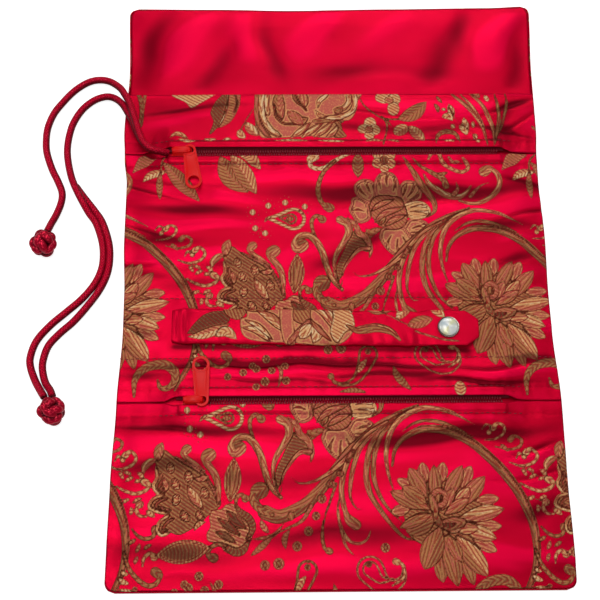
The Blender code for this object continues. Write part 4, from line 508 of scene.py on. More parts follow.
def lip_gap(slit, gaps, x):
    """Half the gap between the two lips over a zip."""
    share = np.clip((x - slit[0]) / (slit[1] - slit[0]), 0.0, 1.0)
    middle = gaps[0] + (gaps[1] - gaps[0]) * share
    opening = smooth(slit[0] - 6.0, slit[0], x) * (1.0 - smooth(slit[1], slit[1] + 6.0, x))
    return (0.3 + (middle - 0.3) * opening) / 2.0


def upper_gap(x):
    return lip_gap(UPPER_SLIT, (5.0, 3.8), x)


def lower_gap(x):
    return lip_gap(LOWER_SLIT, (3.7, 3.4), x)


def curve_points(points, step):
    """Points about step apart on a smooth curve through the given ones."""
    points = np.asarray(points, float)
    if len(points) == 2:
        count = max(2, int(np.linalg.norm(points[1] - points[0]) / step) + 1)
        return points[0] + (points[1] - points[0]) * np.linspace(0.0, 1.0, count)[:, None]
    padded = np.vstack([2 * points[0] - points[1], points, 2 * points[-1] - points[-2]])
    made = []
    for i in range(len(points) - 1):
        a, b, c, d = padded[i:i + 4]
        count = max(2, int(np.linalg.norm(c - b) / step) + 1)
        t = np.linspace(0.0, 1.0, count, endpoint=False)[:, None]
        made.append(0.5 * (2 * b + (c - a) * t + (2 * a - 5 * b + 4 * c - d) * t ** 2
                           + (3 * b - a - 3 * c + d) * t ** 3))
    return np.vstack(made + [points[-1:]])


PROFILES = {
    "even": lambda t: np.ones_like(t) * (0.6 + 0.4 * np.clip(np.minimum(t, 1 - t) * 12, 0, 1)),
    "taper": lambda t: 1.0 - 0.85 * t ** 1.2,
    "leaf": lambda t: np.sin(np.pi * np.clip(t, 0.0, 1.0)) ** 1.1 + 0.02,
    "petal": lambda t: np.sin(np.pi * np.clip(0.12 + 0.88 * t, 0.0, 1.0) ** 1.3) ** 1.1 + 0.02,
    "swell": lambda t: 0.25 + 0.75 * np.sin(np.pi * np.clip(t, 0.0, 1.0)),
    "cone": lambda t: 0.08 + 0.92 * t ** 1.1,
    "ball": lambda t: 0.55 + 0.45 * np.sin(np.pi * np.clip(t * 0.8, 0, 1)) + 1.1 * smooth(0.86, 0.98, t),
}


# How far outside a shape, in millimetres, the distance to its edge is kept.
FAR = 3.0


class Figure:
    """The woven figure over the points of one panel, painted shape by shape."""

    def __init__(self, x, y):
        self.x, self.y = x, y
        self.edge = np.full(len(x), FAR)
        self.inner = np.full(len(x), FAR)
        self.tone = np.full(len(x), 0.5)
        self.thread = np.zeros(len(x))

    def near(self, low, high, margin):
        return np.nonzero((self.x > low[0] - margin) & (self.x < high[0] + margin)
                          & (self.y > low[1] - margin) & (self.y < high[1] + margin))[0]

    def lay(self, at, distance, tone, thread):
        """Puts a shape on top: distance is below 0 inside it."""
        inside = distance < 0.0
        closer = ~inside & (distance < self.edge[at]) & (self.edge[at] > 0.0)
        under = ~inside & (self.edge[at] <= 0.0)
        put = inside | closer
        chosen = at[put]
        self.tone[chosen] = np.broadcast_to(tone, distance.shape)[put]
        self.thread[chosen] = thread[put]
        self.inner[at[under]] = np.minimum(self.inner[at[under]], distance[under])
        self.inner[at[inside]] = -distance[inside]
        self.edge[at] = np.minimum(self.edge[at], distance)

    def shape(self, line, shift):
        kind, half, tone, turn, points, option = line
        points = points + shift
        if kind == "dots":
            for point in points:
                self.oval(point, (half, half * 1.1), tone, turn)
                for k in range(9):
                    around = 2 * math.pi * (k + 0.4) / 9
                    spot = point + 2.2 * half * np.array([math.cos(around), 1.15 * math.sin(around)])
                    self.oval(spot, (0.34, 0.34), 0.55, turn)
        elif kind == "bead":
            self.oval(points[0], (half, half * 1.05), tone, 0.6)
            self.oval(points[0], (half * 0.42, half * 0.6), 0.3, 0.6)
        elif kind == "oval":
            self.oval(points[0], half, tone, turn, option)
        elif kind == "blob":
            self.blob(points, tone, turn, option)
        else:
            self.stroke(points, half, PROFILES[kind], tone, turn, option)

    def finish_shape(self, at, distance, tone, thread, option):
        """Lays a shape on: plain, inside a rim of another tone, or only its edge as a ring."""
        if isinstance(option, tuple):
            rim_tone, rim_width = option
            self.lay(at, distance, rim_tone, thread)
            distance = distance + rim_width
        elif option:
            distance = np.abs(distance + option / 2.0) - option / 2.0
        self.lay(at, distance, tone, thread)

    def oval(self, centre, half, tone, turn, option=None):
        at = self.near(centre, centre, max(half) + FAR)
        if len(at) == 0:
            return
        dx, dy = self.x[at] - centre[0], self.y[at] - centre[1]
        reach = np.hypot(dx / half[0], dy / half[1])
        distance = (reach - 1.0) * min(half)
        thread = dx * math.cos(turn) + dy * math.sin(turn)
        self.finish_shape(at, distance, tone, thread, option)

    def blob(self, points, tone, turn, option):
        outline = curve_points(np.vstack([points, points[:1]]), 1.2)
        at = self.near(outline.min(0), outline.max(0), FAR)
        if len(at) == 0:
            return
        p = np.stack([self.x[at], self.y[at]], 1)
        a, b = outline[:-1], outline[1:]
        span = b - a
        length = np.maximum((span ** 2).sum(1), 1e-9)
        best = np.full(len(p), 1e9)
        inside = np.zeros(len(p), bool)
        for k in range(len(a)):
            rel = p - a[k]
            share = np.clip((rel @ span[k]) / length[k], 0.0, 1.0)
            best = np.minimum(best, ((rel - share[:, None] * span[k]) ** 2).sum(1))
            crosses = (a[k, 1] > p[:, 1]) != (b[k, 1] > p[:, 1])
            if crosses.any():
                rise = span[k, 1] if abs(span[k, 1]) > 1e-9 else 1e-9
                inside ^= crosses & (p[:, 0] < a[k, 0] + span[k, 0] * (p[:, 1] - a[k, 1]) / rise)
        distance = np.sqrt(best) * np.where(inside, -1.0, 1.0)
        thread = self.x[at] * math.cos(turn) + self.y[at] * math.sin(turn) if turn >= 0 else np.zeros(len(at))
        self.finish_shape(at, distance, tone, thread, option)

    def stroke(self, points, half, profile, tone, turn, option):
        spine = curve_points(points, 0.8)
        steps = np.linalg.norm(np.diff(spine, axis=0), axis=1)
        along = np.concatenate([[0.0], np.cumsum(steps)])
        radius = half * profile(along / along[-1])
        low, high = spine.min(0), spine.max(0)
        at = self.near(low, high, half * 2.2 + FAR)
        if len(at) == 0:
            return
        best = np.full(len(at), 1e9)
        which = np.zeros(len(at), int)
        px, py = self.x[at], self.y[at]
        for k, (cx, cy) in enumerate(spine):
            d = np.hypot(px - cx, py - cy) - radius[k]
            better = d < best
            best[better] = d[better]
            which[better] = k
        keep = best < FAR
        at, best, which, px, py = at[keep], best[keep], which[keep], px[keep], py[keep]
        tangent = np.gradient(spine, axis=0)
        tangent /= np.maximum(np.linalg.norm(tangent, axis=1), 1e-9)[:, None]
        dx, dy = px - spine[which, 0], py - spine[which, 1]
        s = along[which] + dx * tangent[which, 0] + dy * tangent[which, 1]
        across = -dx * tangent[which, 1] + dy * tangent[which, 0]
        thread = s * math.cos(turn) + np.abs(across) * math.sin(turn)
        if isinstance(tone, tuple):
            self.finish_shape(at, best, np.where(across > 0, tone[0], tone[1]), thread, option)
            if half > 1.2:
                inside = best < 0
                self.inner[at[inside]] = np.minimum(self.inner[at[inside]], np.abs(across[inside]) + 0.22)
        else:
            self.finish_shape(at, best, tone, thread, option)

    def design(self, shift):
        """The repeating figure, moved by shift."""
        shift = np.asarray(shift, float)
        low = math.floor((self.x.min() - shift[0] - 100.0) / REPEAT)
        high = math.ceil((self.x.max() - shift[0] + 100.0) / REPEAT)
        for step in range(low, high + 1):
            move = shift + (step * REPEAT, 0.0)
            if -105.0 + move[0] > self.x.max() or 105.0 + move[0] < self.x.min():
                continue
            for line in DESIGN:
                self.shape(line, move)


def add_mesh(name, verts, faces, material, body="body"):
    mesh = bpy.data.meshes.new(name)
    mesh.from_pydata(np.asarray(verts, float) * MM, [], faces)
    mesh.update()
    mesh.shade_smooth()
    mesh.materials.append(material)
    thing = bpy.data.objects.new(name, mesh)
    bpy.context.scene.collection.objects.link(thing)
    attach(thing, body)
    return thing


def stand_for(thing, node, slot):
    """Hides the CAD node that a piece stands in for."""
    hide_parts(node)


def round_turns(count):
    """Angles of the points all round a ring."""
    return [2 * math.pi * k / count for k in range(count)]


def ring_faces(rings, sides, start=0, closed=False):
    """Faces along a row of rings, which joins up with itself or has a flat cap at each end."""
    faces = []
    for ring in range(rings if closed else rings - 1):
        a, b = start + ring * sides, start + (ring + 1) % rings * sides
        faces += [(a + k, a + (k + 1) % sides, b + (k + 1) % sides, b + k) for k in range(sides)]
    if not closed:
        last = start + (rings - 1) * sides
        faces += [tuple(range(start + sides - 1, start - 1, -1)), tuple(range(last, last + sides))]
    return faces


def drop_onto(mesh, high):
    """Makes a function for the height of a mesh under a place in the plane, NaN where there is none."""
    tree = BVHTree.FromPolygons([v.co for v in mesh.vertices], [list(p.vertices) for p in mesh.polygons])

    def height(x, y):
        hit = tree.ray_cast(Vector((x * MM, y * MM, high)), Vector((0.0, 0.0, -1.0)))[0]
        return np.nan if hit is None else hit.z / MM
    return height


def cad_top(node, x, y):
    """Height of a CAD node's upper side over a grid of places, in millimetres."""
    height = drop_onto(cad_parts[node].data, 0.1)
    return np.array([height(*at) for at in zip(x.ravel(), y.ravel())]).reshape(x.shape)


def blur(grid, radius):
    """Averages a grid over a few cells each way, keeping its edges."""
    for axis in (0, 1):
        for _ in range(2):
            pad = [(radius, radius) if a == axis else (0, 0) for a in (0, 1)]
            summed = np.cumsum(np.pad(grid, pad, mode="edge"), axis=axis)
            zero = np.zeros_like(np.take(summed, [0], axis))
            summed = np.concatenate([zero, summed], axis)
            size = grid.shape[axis]
            top = np.take(summed, range(2 * radius + 1, 2 * radius + 1 + size), axis)
            low = np.take(summed, range(size), axis)
            grid = (top - low) / (2 * radius + 1)
    return grid


def grid_faces(rows, columns):
    """Faces of a grid of points, looking up."""
    a = np.arange(rows * columns).reshape(rows, columns)
    return np.stack([a[:-1, :-1], a[:-1, 1:], a[1:, 1:], a[1:, :-1]], -1).reshape(-1, 4).tolist()


def hemmed(grid, rows, underside=False):
    """Points and faces of a sheet with more rows all round it, each (way out, drop). On the underside
    the faces look down, and each row is (way out, height)."""
    def all_round(of):
        return np.concatenate([of[0, :-1], of[:-1, -1], of[-1, :0:-1], of[:0:-1, 0]])
    ring = all_round(grid)
    along = np.roll(ring, -1, 0) - np.roll(ring, 1, 0)
    outward = np.stack([along[:, 1], -along[:, 0], np.zeros(len(ring))], 1)
    outward /= np.maximum(np.linalg.norm(outward, axis=1), 1e-9)[:, None]
    index = np.arange(grid[..., 0].size).reshape(grid.shape[:2])
    verts, last, start = [grid.reshape(-1, 3)], all_round(index), index.size
    faces = [face[::-1] if underside else face for face in grid_faces(*index.shape)]
    for out, rise in rows:
        level = ring + outward * out
        level[:, 2] = rise if underside else level[:, 2] + rise
        verts.append(level)
        new = np.arange(start, start + len(ring))
        quad = [last, new, np.roll(new, -1), np.roll(last, -1)]
        quad = quad[:1] + quad[:0:-1] if underside else quad
        faces += np.stack(quad, 1).tolist()
        last, start = new, start + len(ring)
    return np.vstack(verts), faces


def strap_line(x):
    """Middle line of the strap, which slopes a little."""
    return STRAP["y"] - STRAP["drop"] * (x - STRAP["left"]) / (STRAP["right"] - STRAP["left"])


def above_sliders(x, y):
    """Height that keeps the lips clear above the plate of each slider, all along its run."""
    height = np.zeros_like(x)
    for zip_y, start, end in PLATE_RUNS:
        along = smooth(start - 6.0, start, x) * (1 - smooth(end, end + 7.0, x))
        height = np.maximum(height, LIP_TOP * along * (1 - smooth(4.7, 12.0, np.abs(y - zip_y))))
    return height


def cloth_sheet(name, node, rows, low_edge, high_edge, inset, detail, material, shade,
                step=0.65, thick=0.6):
    """A dense sheet over a CAD panel, with rolled edges and the detail heights added."""
    count_y = int((rows[1] - rows[0]) / step)
    count_x = int(WIDTH / step)
    v = np.linspace(0.0, 1.0, count_y)[:, None]
    u = np.linspace(0.0, 1.0, count_x)[None, :]
    row = rows[0] + (rows[1] - rows[0]) * v
    left, right = side_x(row, -1, inset), side_x(row, 1, inset)
    x = left + (right - left) * u
    y = row + (low_edge(x) - rows[0]) * (1 - v) ** 6 + (high_edge(x) - rows[1]) * v ** 6
    coarse = (slice(None, None, 4), slice(None, None, 4))
    base = cad_top(node, x[coarse], y[coarse])
    base[np.isnan(base)] = np.nanmedian(base)
    rows_at = np.linspace(0, base.shape[0] - 1, count_y)
    columns_at = np.linspace(0, base.shape[1] - 1, count_x)
    base = np.stack([np.interp(columns_at, range(base.shape[1]), line) for line in base])
    base = np.stack([np.interp(rows_at, range(base.shape[0]), line) for line in base.T]).T
    base = blur(base, 4)
    drawn = detail(x, y)
    z = base + drawn
    z = np.maximum(z, above_sliders(x, y)) if thick > 0.5 else z
    z = np.where(z > CLOTH_TOP - 0.4, CLOTH_TOP - 0.4 + 0.4 * np.tanh((z - CLOTH_TOP + 0.4) / 0.4), z)
    # Painted shade for the colour down in the hollows of the folds, and below 0 a painted highlight on their
    # crowns.
    crease = shade * (0.8 * (blur(drawn, 7) - drawn) + 1.2 * (blur(drawn, 26) - blur(drawn, 3)))
    # Painted shadow in a band along the strap's lower edge.
    under_strap = smooth(-79, -74, x) * (1 - smooth(58, 66, x))
    strap_shadow = np.exp(-(((y - strap_line(x) + 9.7) / 1.7) ** 2))
    crease = np.clip(crease + under_strap * 1.1 * strap_shadow, -0.5, 0.95)
    # Rolled edge: rows all round that turn down and under.
    hem = ((-0.12, -0.2), (-0.12, -0.55 * thick - 0.1), (-0.5, -thick + 0.02), (-3.0, -thick + 0.02))
    verts, faces = hemmed(np.stack([x, y, z], -1), hem)
    thing = add_mesh(name, verts, faces, material)
    # The rows of the rolled edge get an even painted shade of 0.3.
    write_values(thing, crease=np.concatenate([crease.ravel(), np.full(len(verts) - crease.size, 0.3)]))
    return thing, verts


def ridge(x, y, centre, half_length, half_width, height, angle):
    """One soft fold as a long low swelling."""
    turn = math.radians(angle)
    dx, dy = x - centre[0], y - centre[1]
    along = dx * math.cos(turn) + dy * math.sin(turn)
    across = -dx * math.sin(turn) + dy * math.cos(turn)
    return height * np.exp(-(along / half_length) ** 2 - (across / half_width) ** 2)


def ripples(x, seed, waves, short, long):
    """A smooth wandering line, about -1 to 1."""
    local = np.random.default_rng(seed)
    total = np.zeros_like(x)
    for _ in range(waves):
        length = local.uniform(short, long)
        total += np.sin(2 * math.pi * x / length + local.uniform(0, 6.3))
    return total / math.sqrt(waves)


def seam(x, y, line, depth, reach, seed):
    """Cloth drawn in along a row of stitches, with small puckers square to it."""
    off = np.abs(y - line)
    pucker = 0.5 + 0.5 * ripples(x, seed, 8, 4.0, 13.0)
    dimple = np.cos(2 * math.pi * x / 2.6) * 0.5 + 0.5
    groove = -0.55 * depth * np.exp(-(off / 0.8) ** 2) * (0.7 + 0.3 * dimple)
    return groove - 0.13 * (pucker - 0.5) * np.exp(-(off / reach) ** 2)


class Nodes:
    """Short way to write a material's nodes."""

    def __init__(self, name):
        self.material = bpy.data.materials.new(name)
        self.material.use_nodes = True
        self.tree = self.material.node_tree
        self.shader = self.tree.nodes["Principled BSDF"]

    def add(self, kind, **inputs):
        made = self.tree.nodes.new("ShaderNode" + kind)
        for key, value in inputs.items():
            self.put(made, key, value)
        return made

    def put(self, made, key, value):
        name = key.replace("_", " ")
        if name in made.inputs:
            socket = made.inputs[name]
        elif key.startswith("in") and key[2:].isdigit():
            socket = made.inputs[int(key[2:])]
        else:
            setattr(made, key, value)
            return
        if isinstance(value, bpy.types.NodeSocket):
            self.tree.links.new(value, socket)
        else:
            socket.default_value = value

    def math(self, operation, a, b=0.0, c=0.0):
        made = self.add("Math", operation=operation, in0=a, in1=b)
        if operation == "MULTIPLY_ADD":
            self.put(made, "in2", c)
        return made.outputs[0]

    def ramp(self, value, low, high, start=0.0, end=1.0):
        made = self.add("MapRange", interpolation_type="SMOOTHSTEP", Value=value)
        for key, number in (("From Min", low), ("From Max", high), ("To Min", start), ("To Max", end)):
            made.inputs[key].default_value = number
        return made.outputs[0]

    def mix(self, share, a, b):
        made = self.add("Mix", data_type="RGBA")
        for index, value in ((0, share), (6, a), (7, b)):
            self.put(made, f"in{index}", value)
        return made.outputs[2]

    def attribute(self, name):
        return self.add("Attribute", attribute_name=name).outputs["Fac"]

    def coords(self):
        return self.add("TexCoord").outputs["Object"]

    def noise(self, scale, detail=3.0, vector=None):
        made = self.add("TexNoise", Scale=scale, Detail=detail, Vector=vector or self.coords())
        return made.outputs["Fac"]

    def colours(self, value, stops):
        made = self.add("ValToRGB", Fac=value)
        band = made.color_ramp
        while len(band.elements) < len(stops):
            band.elements.new(0.5)
        for element, (place, colour) in zip(band.elements, stops):
            element.position = place
            element.color = colour
        return made.outputs["Color"]

    def surface(self, **values):
        for key, value in values.items():
            self.put(self.shader, key, value)

    def bump(self, height, distance, strength):
        made = self.add("Bump", Height=height, Distance=distance, Strength=strength)
        self.put(self.shader, "Normal", made.outputs["Normal"])


def weave(nodes):
    """Fine over-and-under threads, 0 to 1, pitch in metres."""
    pitch = 0.00045
    place = nodes.add("SeparateXYZ", Vector=nodes.coords())
    x, y = place.outputs["X"], place.outputs["Y"]
    one = nodes.math("SINE", nodes.math("MULTIPLY", x, 2 * math.pi / pitch))
    two = nodes.math("SINE", nodes.math("MULTIPLY", y, 2 * math.pi / (pitch * 0.8)))
    return nodes.math("MULTIPLY_ADD", nodes.math("MULTIPLY", one, two), 0.5, 0.5)


def satin_ground(nodes):
    """Red satin: slow changes of tone at random, painted shade down in the creases and a painted highlight on
    the crowns of the folds.
    """
    stretched = nodes.add("Mapping", Vector=nodes.coords(), Scale=(0.6, 1.4, 1.0)).outputs[0]
    slow = nodes.noise(26.0, 2.0, stretched)
    plain = nodes.mix(nodes.ramp(slow, 0.3, 0.7), srgb(226, 0, 50), srgb(208, 0, 42))
    crease = nodes.attribute("crease")
    # Painted highlight where the cloth rises, then painted shade where it sinks.
    with_painted_highlight = nodes.mix(nodes.ramp(crease, 0.0, -0.4), plain, srgb(244, 0, 62))
    return nodes.mix(nodes.ramp(crease, 0.0, 0.9), with_painted_highlight, srgb(112, 0, 20))


def make_satin():
    nodes = Nodes("satin")
    nodes.surface(Base_Color=satin_ground(nodes), Metallic=0.55, Roughness=0.34, Specular_IOR_Level=0.05)
    nodes.bump(weave(nodes), 0.00003, 0.5)
    return nodes.material


def make_brocade():
    nodes = Nodes("brocade")
    edge, inner = nodes.attribute("edge"), nodes.attribute("inner")
    mask = nodes.ramp(edge, 0.12, -0.12)
    phase = nodes.math("MULTIPLY", nodes.attribute("thread"), 2 * math.pi / 1.5)
    grain = nodes.noise(700.0, 2.0)
    thread = nodes.math("SINE", nodes.math("MULTIPLY_ADD", grain, 2.6, phase))
    rim = nodes.math("MULTIPLY", nodes.ramp(inner, 0.2, 0.42), nodes.ramp(inner, 1.05, 0.6))
    tone = nodes.math("MULTIPLY_ADD", thread, 0.07, nodes.attribute("tone"))
    tone = nodes.math("MULTIPLY_ADD", rim, 0.13, tone)
    tone = nodes.math("ADD", tone, nodes.math("MULTIPLY_ADD", nodes.noise(1100.0, 2.0), 0.32, -0.16))
    figure = nodes.colours(tone, (
        (0.0, srgb(76, 34, 24)), (0.2, srgb(110, 60, 42)), (0.42, srgb(158, 98, 66)),
        (0.56, srgb(202, 136, 84)), (0.69, srgb(204, 92, 84)), (0.8, srgb(226, 150, 98)),
        (0.93, srgb(238, 178, 120)), (1.0, srgb(248, 206, 156))))
    figure = nodes.mix(nodes.ramp(inner, 0.36, 0.12, 0.0, 0.8), figure, srgb(96, 28, 22))
    figure = nodes.mix(nodes.ramp(thread, -0.4, -1.0, 0.0, 0.7), figure, srgb(166, 34, 34))
    # Painted shade on the woven figure down in the creases.
    figure = nodes.mix(nodes.ramp(nodes.attribute("crease"), 0.1, 0.8, 0.0, 0.6), figure, srgb(60, 20, 12))
    colour = nodes.mix(mask, satin_ground(nodes), figure)
    rough = nodes.ramp(mask, 0.0, 1.0, 0.34, 0.5)
    metal = nodes.ramp(mask, 0.0, 1.0, 0.55, 0.15)
    nodes.surface(Base_Color=colour, Metallic=metal, Roughness=rough, Specular_IOR_Level=0.05)
    raised = nodes.math("MULTIPLY_ADD", thread, 0.3, nodes.ramp(inner, 0.0, 0.9, 0.2, 1.0))
    relief = nodes.math("MULTIPLY_ADD", weave(nodes), 0.06, nodes.math("MULTIPLY", mask, raised))
    nodes.bump(relief, 0.0003, 1.0)
    return nodes.material


def make_plain(name, colours, roughness, scale, metallic=0.0, bump=0.00003, **extra):
    nodes = Nodes(name)
    grain = nodes.noise(scale, 3.0)
    nodes.surface(Base_Color=nodes.mix(nodes.ramp(grain, 0.35, 0.65), *colours), Roughness=roughness,
                  Metallic=metallic, **extra)
    nodes.bump(grain, bump, 0.6)
    return nodes.material


def make_cord_material():
    """Satin-covered cord: fine threads that wind round it both ways, painted shade on its lower side and a
    few bright flecks of painted glint.
    """
    nodes = Nodes("cord")
    along = nodes.math("MULTIPLY", nodes.attribute("along"), 2 * math.pi / 1.5)
    around = nodes.attribute("around")
    one = nodes.math("SINE", nodes.math("MULTIPLY_ADD", around, 8.0, along))
    two = nodes.math("SINE", nodes.math("MULTIPLY_ADD", around, -8.0, along))
    braid = nodes.math("MAXIMUM", one, two)
    colour = nodes.mix(nodes.ramp(braid, -0.6, 1.0), srgb(150, 0, 30), srgb(214, 8, 50))
    # Painted shade on the side of the cord that faces down.
    up = nodes.math("SINE", nodes.math("ADD", around, 0.5))
    colour = nodes.mix(nodes.ramp(up, 0.9, -0.1, 0.0, 0.85), colour, srgb(84, 0, 14))
    # Painted glints: a few pale pink flecks.
    colour = nodes.mix(nodes.ramp(nodes.noise(1500.0, 1.0), 0.62, 0.72, 0.0, 0.7), colour, srgb(240, 70, 96))
    nodes.surface(Base_Color=colour, Roughness=0.36, Metallic=0.4, Specular_IOR_Level=0.08)
    nodes.bump(braid, 0.0001, 0.8)
    return nodes.material


def make_knot_material():
    """Same cord drawn tight in the knot: smooth, bright on the crown of each pass, with painted shade between
    them.
    """
    nodes = Nodes("cord_knot")
    up = nodes.math("SINE", nodes.attribute("around"))
    # Painted shade where each lobe turns in between the passes.
    colour = nodes.mix(nodes.ramp(up, 0.1, 0.95), srgb(70, 0, 12), srgb(206, 4, 50))
    colour = nodes.mix(nodes.ramp(nodes.noise(180.0, 1.0), 0.35, 0.7, 0.0, 0.4), colour, srgb(120, 0, 24))
    nodes.surface(Base_Color=colour, Roughness=0.26, Metallic=0.5, Specular_IOR_Level=0.3)
    return nodes.material


def make_pearl():
    """Pearl face: pale gleams that run out from its middle."""
    nodes = Nodes("pearl")
    colour = nodes.colours(nodes.attribute("around"), (
        (0.0, srgb(226, 230, 226)), (0.14, srgb(240, 238, 190)), (0.3, srgb(250, 252, 250)),
        (0.42, srgb(206, 220, 226)), (0.55, srgb(244, 246, 238)), (0.68, srgb(236, 234, 178)),
        (0.8, srgb(250, 250, 246)), (1.0, srgb(226, 230, 226))))
    nodes.surface(Base_Color=colour, Roughness=0.22, Metallic=0.1, Coat_Weight=0.5, Coat_Roughness=0.1)
    return nodes.material


satin = make_satin()
brocade = make_brocade()
cord_red = make_cord_material()
knot_red = make_knot_material()
tape_red = make_plain("zip_tape", (srgb(120, 0, 26), srgb(150, 0, 34)), 0.75, 1500.0, bump=0.00005)
coil_red = make_plain("zip_coil", (srgb(138, 4, 30), srgb(160, 10, 38)), 0.35, 300.0)
thread_red = make_plain("stitch_thread", (srgb(110, 0, 20), srgb(140, 0, 28)), 0.6, 2000.0)
paint = make_plain("red_paint", (srgb(240, 10, 12), srgb(244, 16, 18)), 0.36, 120.0, bump=0.00001,
                   Specular_IOR_Level=0.22)
metal = make_plain("snap_metal", (srgb(150, 146, 140), srgb(176, 172, 166)), 0.25, 200.0, metallic=1.0,
                   bump=0.00001)
pearl = make_pearl()
felt = make_plain("wadding", (srgb(226, 224, 216), srgb(240, 238, 232)), 0.9, 500.0)

# Folds drawn on the panels: (x, y, half length, half width, height, angle), in millimetres and degrees.
FLAP_FOLDS = (
    (-90, 122, 24, 7, -0.9, 80), (-72, 128, 22, 8, 0.9, 62), (-56, 114, 20, 5, -0.6, 58),
    (-44, 130, 20, 8, 0.7, 110), (-30, 120, 20, 5, -0.7, 112), (-8, 134, 20, 9, 0.9, 62),
    (12, 112, 24, 7, -0.4, 30), (26, 130, 20, 8, 0.4, 50), (57, 118, 20, 8, -0.9, 66),
    (66, 134, 16, 5, -0.5, 100), (84, 128, 18, 8, 1.0, 64), (95, 112, 18, 5, -0.6, 84),
    (-20, 108, 60, 6, -0.3, 4), (40, 108, 50, 5, -0.4, -4),
)
UPPER_FOLDS = (
    (30, 76, 40, 4, -0.7, -2), (60, 84, 30, 4, 0.5, 3), (-72, 82, 22, 3, 0.3, 8),
    (-20, 90, 50, 3, 0.4, 0), (85, 78, 14, 5, -0.7, 70), (-84, 90, 20, 4, -0.3, 0),
    (88, 88, 14, 1.2, -1.1, 24), (86, 74, 16, 1.1, -1.0, -10), (-62, 88, 30, 1.3, -0.7, 5),
    (30, 84, 30, 1.2, -0.8, -4), (94, 80, 10, 1.1, -0.8, 40),
)
MIDDLE_FOLDS = (
    (45, 41, 60, 6, -1.1, 1), (-10, 50, 70, 3, 0.5, -1), (30, 29, 55, 6, 0.6, 2),
    (75, 24, 25, 4, -0.8, -6), (-80, 47, 20, 2.5, -0.6, -6), (-62, 41, 30, 3, 0.6, -8),
    (-75, 33, 26, 3, -0.7, -3), (-70, 25, 26, 3, 0.6, 4), (-84, 17, 18, 2.5, -0.6, -4),
    (-66, 8, 26, 3, 0.5, 6), (-88, 0, 14, 2.5, -0.5, -5), (-60, -5, 30, 3, -0.5, 4),
    (-25, 6, 26, 4, 0.5, 20), (10, 12, 24, 4, -0.6, 30), (20, -6, 30, 3, 0.5, -4),
    (60, -4, 30, 4, 0.5, 3), (88, 6, 12, 3, -0.6, 8), (90, -12, 12, 3, 0.5, 0),
    (-20, -44, 60, 1.9, -0.7, 1), (-60, -48, 28, 1.8, 0.5, -2), (-30, -51, 50, 2.0, 0.5, 1),
    (20, -48, 50, 2.2, -0.6, -1), (70, -50, 30, 2.6, 0.6, 3), (30, -54, 60, 1.8, -0.5, 1),
    (-85, -50, 16, 2.2, -0.7, 4), (90, -44, 12, 2.5, -0.6, -4), (-92, -30, 8, 2.5, -0.5, 0),
    (95, -28, 6, 3, 0.5, 0), (-52, -46, 40, 1.1, -1.1, 1), (-40, -53, 34, 1.0, -1.0, -2),
    (18, -51, 44, 1.2, -1.2, 1), (24, -46, 36, 1.0, -0.9, -2), (66, -54, 26, 1.2, -1.1, -4),
    (78, -47, 20, 1.1, -0.9, 3), (-92, 22, 14, 1.2, -1.0, -14), (-90, 43, 16, 1.2, -1.0, -18),
    (-94, 4, 10, 1.1, -0.8, 6), (92, 30, 14, 1.2, -1.0, 12), (94, 46, 12, 1.1, -0.8, -16),
)
LOWER_FOLDS = (
    (-50, -76, 40, 3, -0.8, -3), (10, -75, 50, 3, 0.5, 1), (50, -80, 45, 4, -0.9, 4),
    (-20, -86, 60, 4, 0.6, -2), (80, -90, 24, 5, 0.7, 10), (-80, -92, 22, 4, -0.7, 6),
    (-30, -100, 50, 6, -0.5, -5), (40, -104, 50, 8, 0.6, 4), (-85, -108, 14, 4, 0.5, 0),
    (90, -112, 12, 5, -0.7, 15), (-60, -118, 40, 6, 0.5, 4), (0, -124, 60, 7, -0.6, 2),
    (-78, -76, 24, 1.2, -0.9, -4), (88, -86, 14, 1.3, -1.0, 14), (84, -98, 16, 1.1, -0.8, 10),
    (70, -132, 30, 5, 0.5, -6), (-70, -134, 30, 5, -0.5, -4), (0, -138, 60, 4, 0.4, 1),
    (88, -138, 16, 3, -0.5, -10),
)
CLOTH_TOP, LIP_TOP = 7.0, 6.85
EDGE_Y = LENGTH / 2.0 - 0.4
LINING_INSET = 0.9
LINING_Y = LENGTH / 2 - LINING_INSET


def folded(x, y, folds, seed, wrinkle):
    """Height of a panel's drawn folds and of its fine wrinkles."""
    z = np.zeros_like(x)
    x, y = x + 2.4 * ripples(y, seed + 1, 5, 26.0, 80.0), y + ripples(x, seed + 2, 5, 34.0, 90.0)
    for fx, fy, half_length, half_width, height, angle in folds:
        z += ridge(x, y, (fx, fy), half_length, half_width, 0.62 * height, angle)
    local = np.random.default_rng(seed)
    for _ in range(46):
        centre = local.uniform(-100, 100), local.uniform(y.min(), y.max())
        z += ridge(x, y, centre, local.uniform(10, 30), local.uniform(1.2, 2.6),
                   wrinkle * local.uniform(-1, 1), local.normal(0, 7))
    return z


def clear_of_pieces(x, y, z):
    """Keeps the cloth down under the strap and the two pull tabs."""
    beside_strap = np.abs(y - strap_line(x))
    strap = smooth(-90, -78, x) * (1 - smooth(67, 78, x)) * (1 - smooth(9.5, 14, beside_strap))
    upper = smooth(-84, -78, x) * (1 - smooth(-60, -54, x)) * smooth(36, 40, y)
    lower = smooth(-74, -68, x) * (1 - smooth(-56, -50, x)) * (1 - smooth(-42, -38, y)) * smooth(-66, -62, y)
    held = np.maximum(np.maximum(strap, upper), lower)
    return z * (1 - held) + np.minimum(z, 0.0) * held


def upper_detail(x, y):
    z = seam(x, y, SEAMS["strip"], 0.35, 4.0, 11) + folded(x, y, UPPER_FOLDS, 12, 0.14)
    return z * smooth(0.0, 4.0, SEAM_Y - y) + 0.15 * (1 - smooth(0.0, 1.6, SEAM_Y - y))


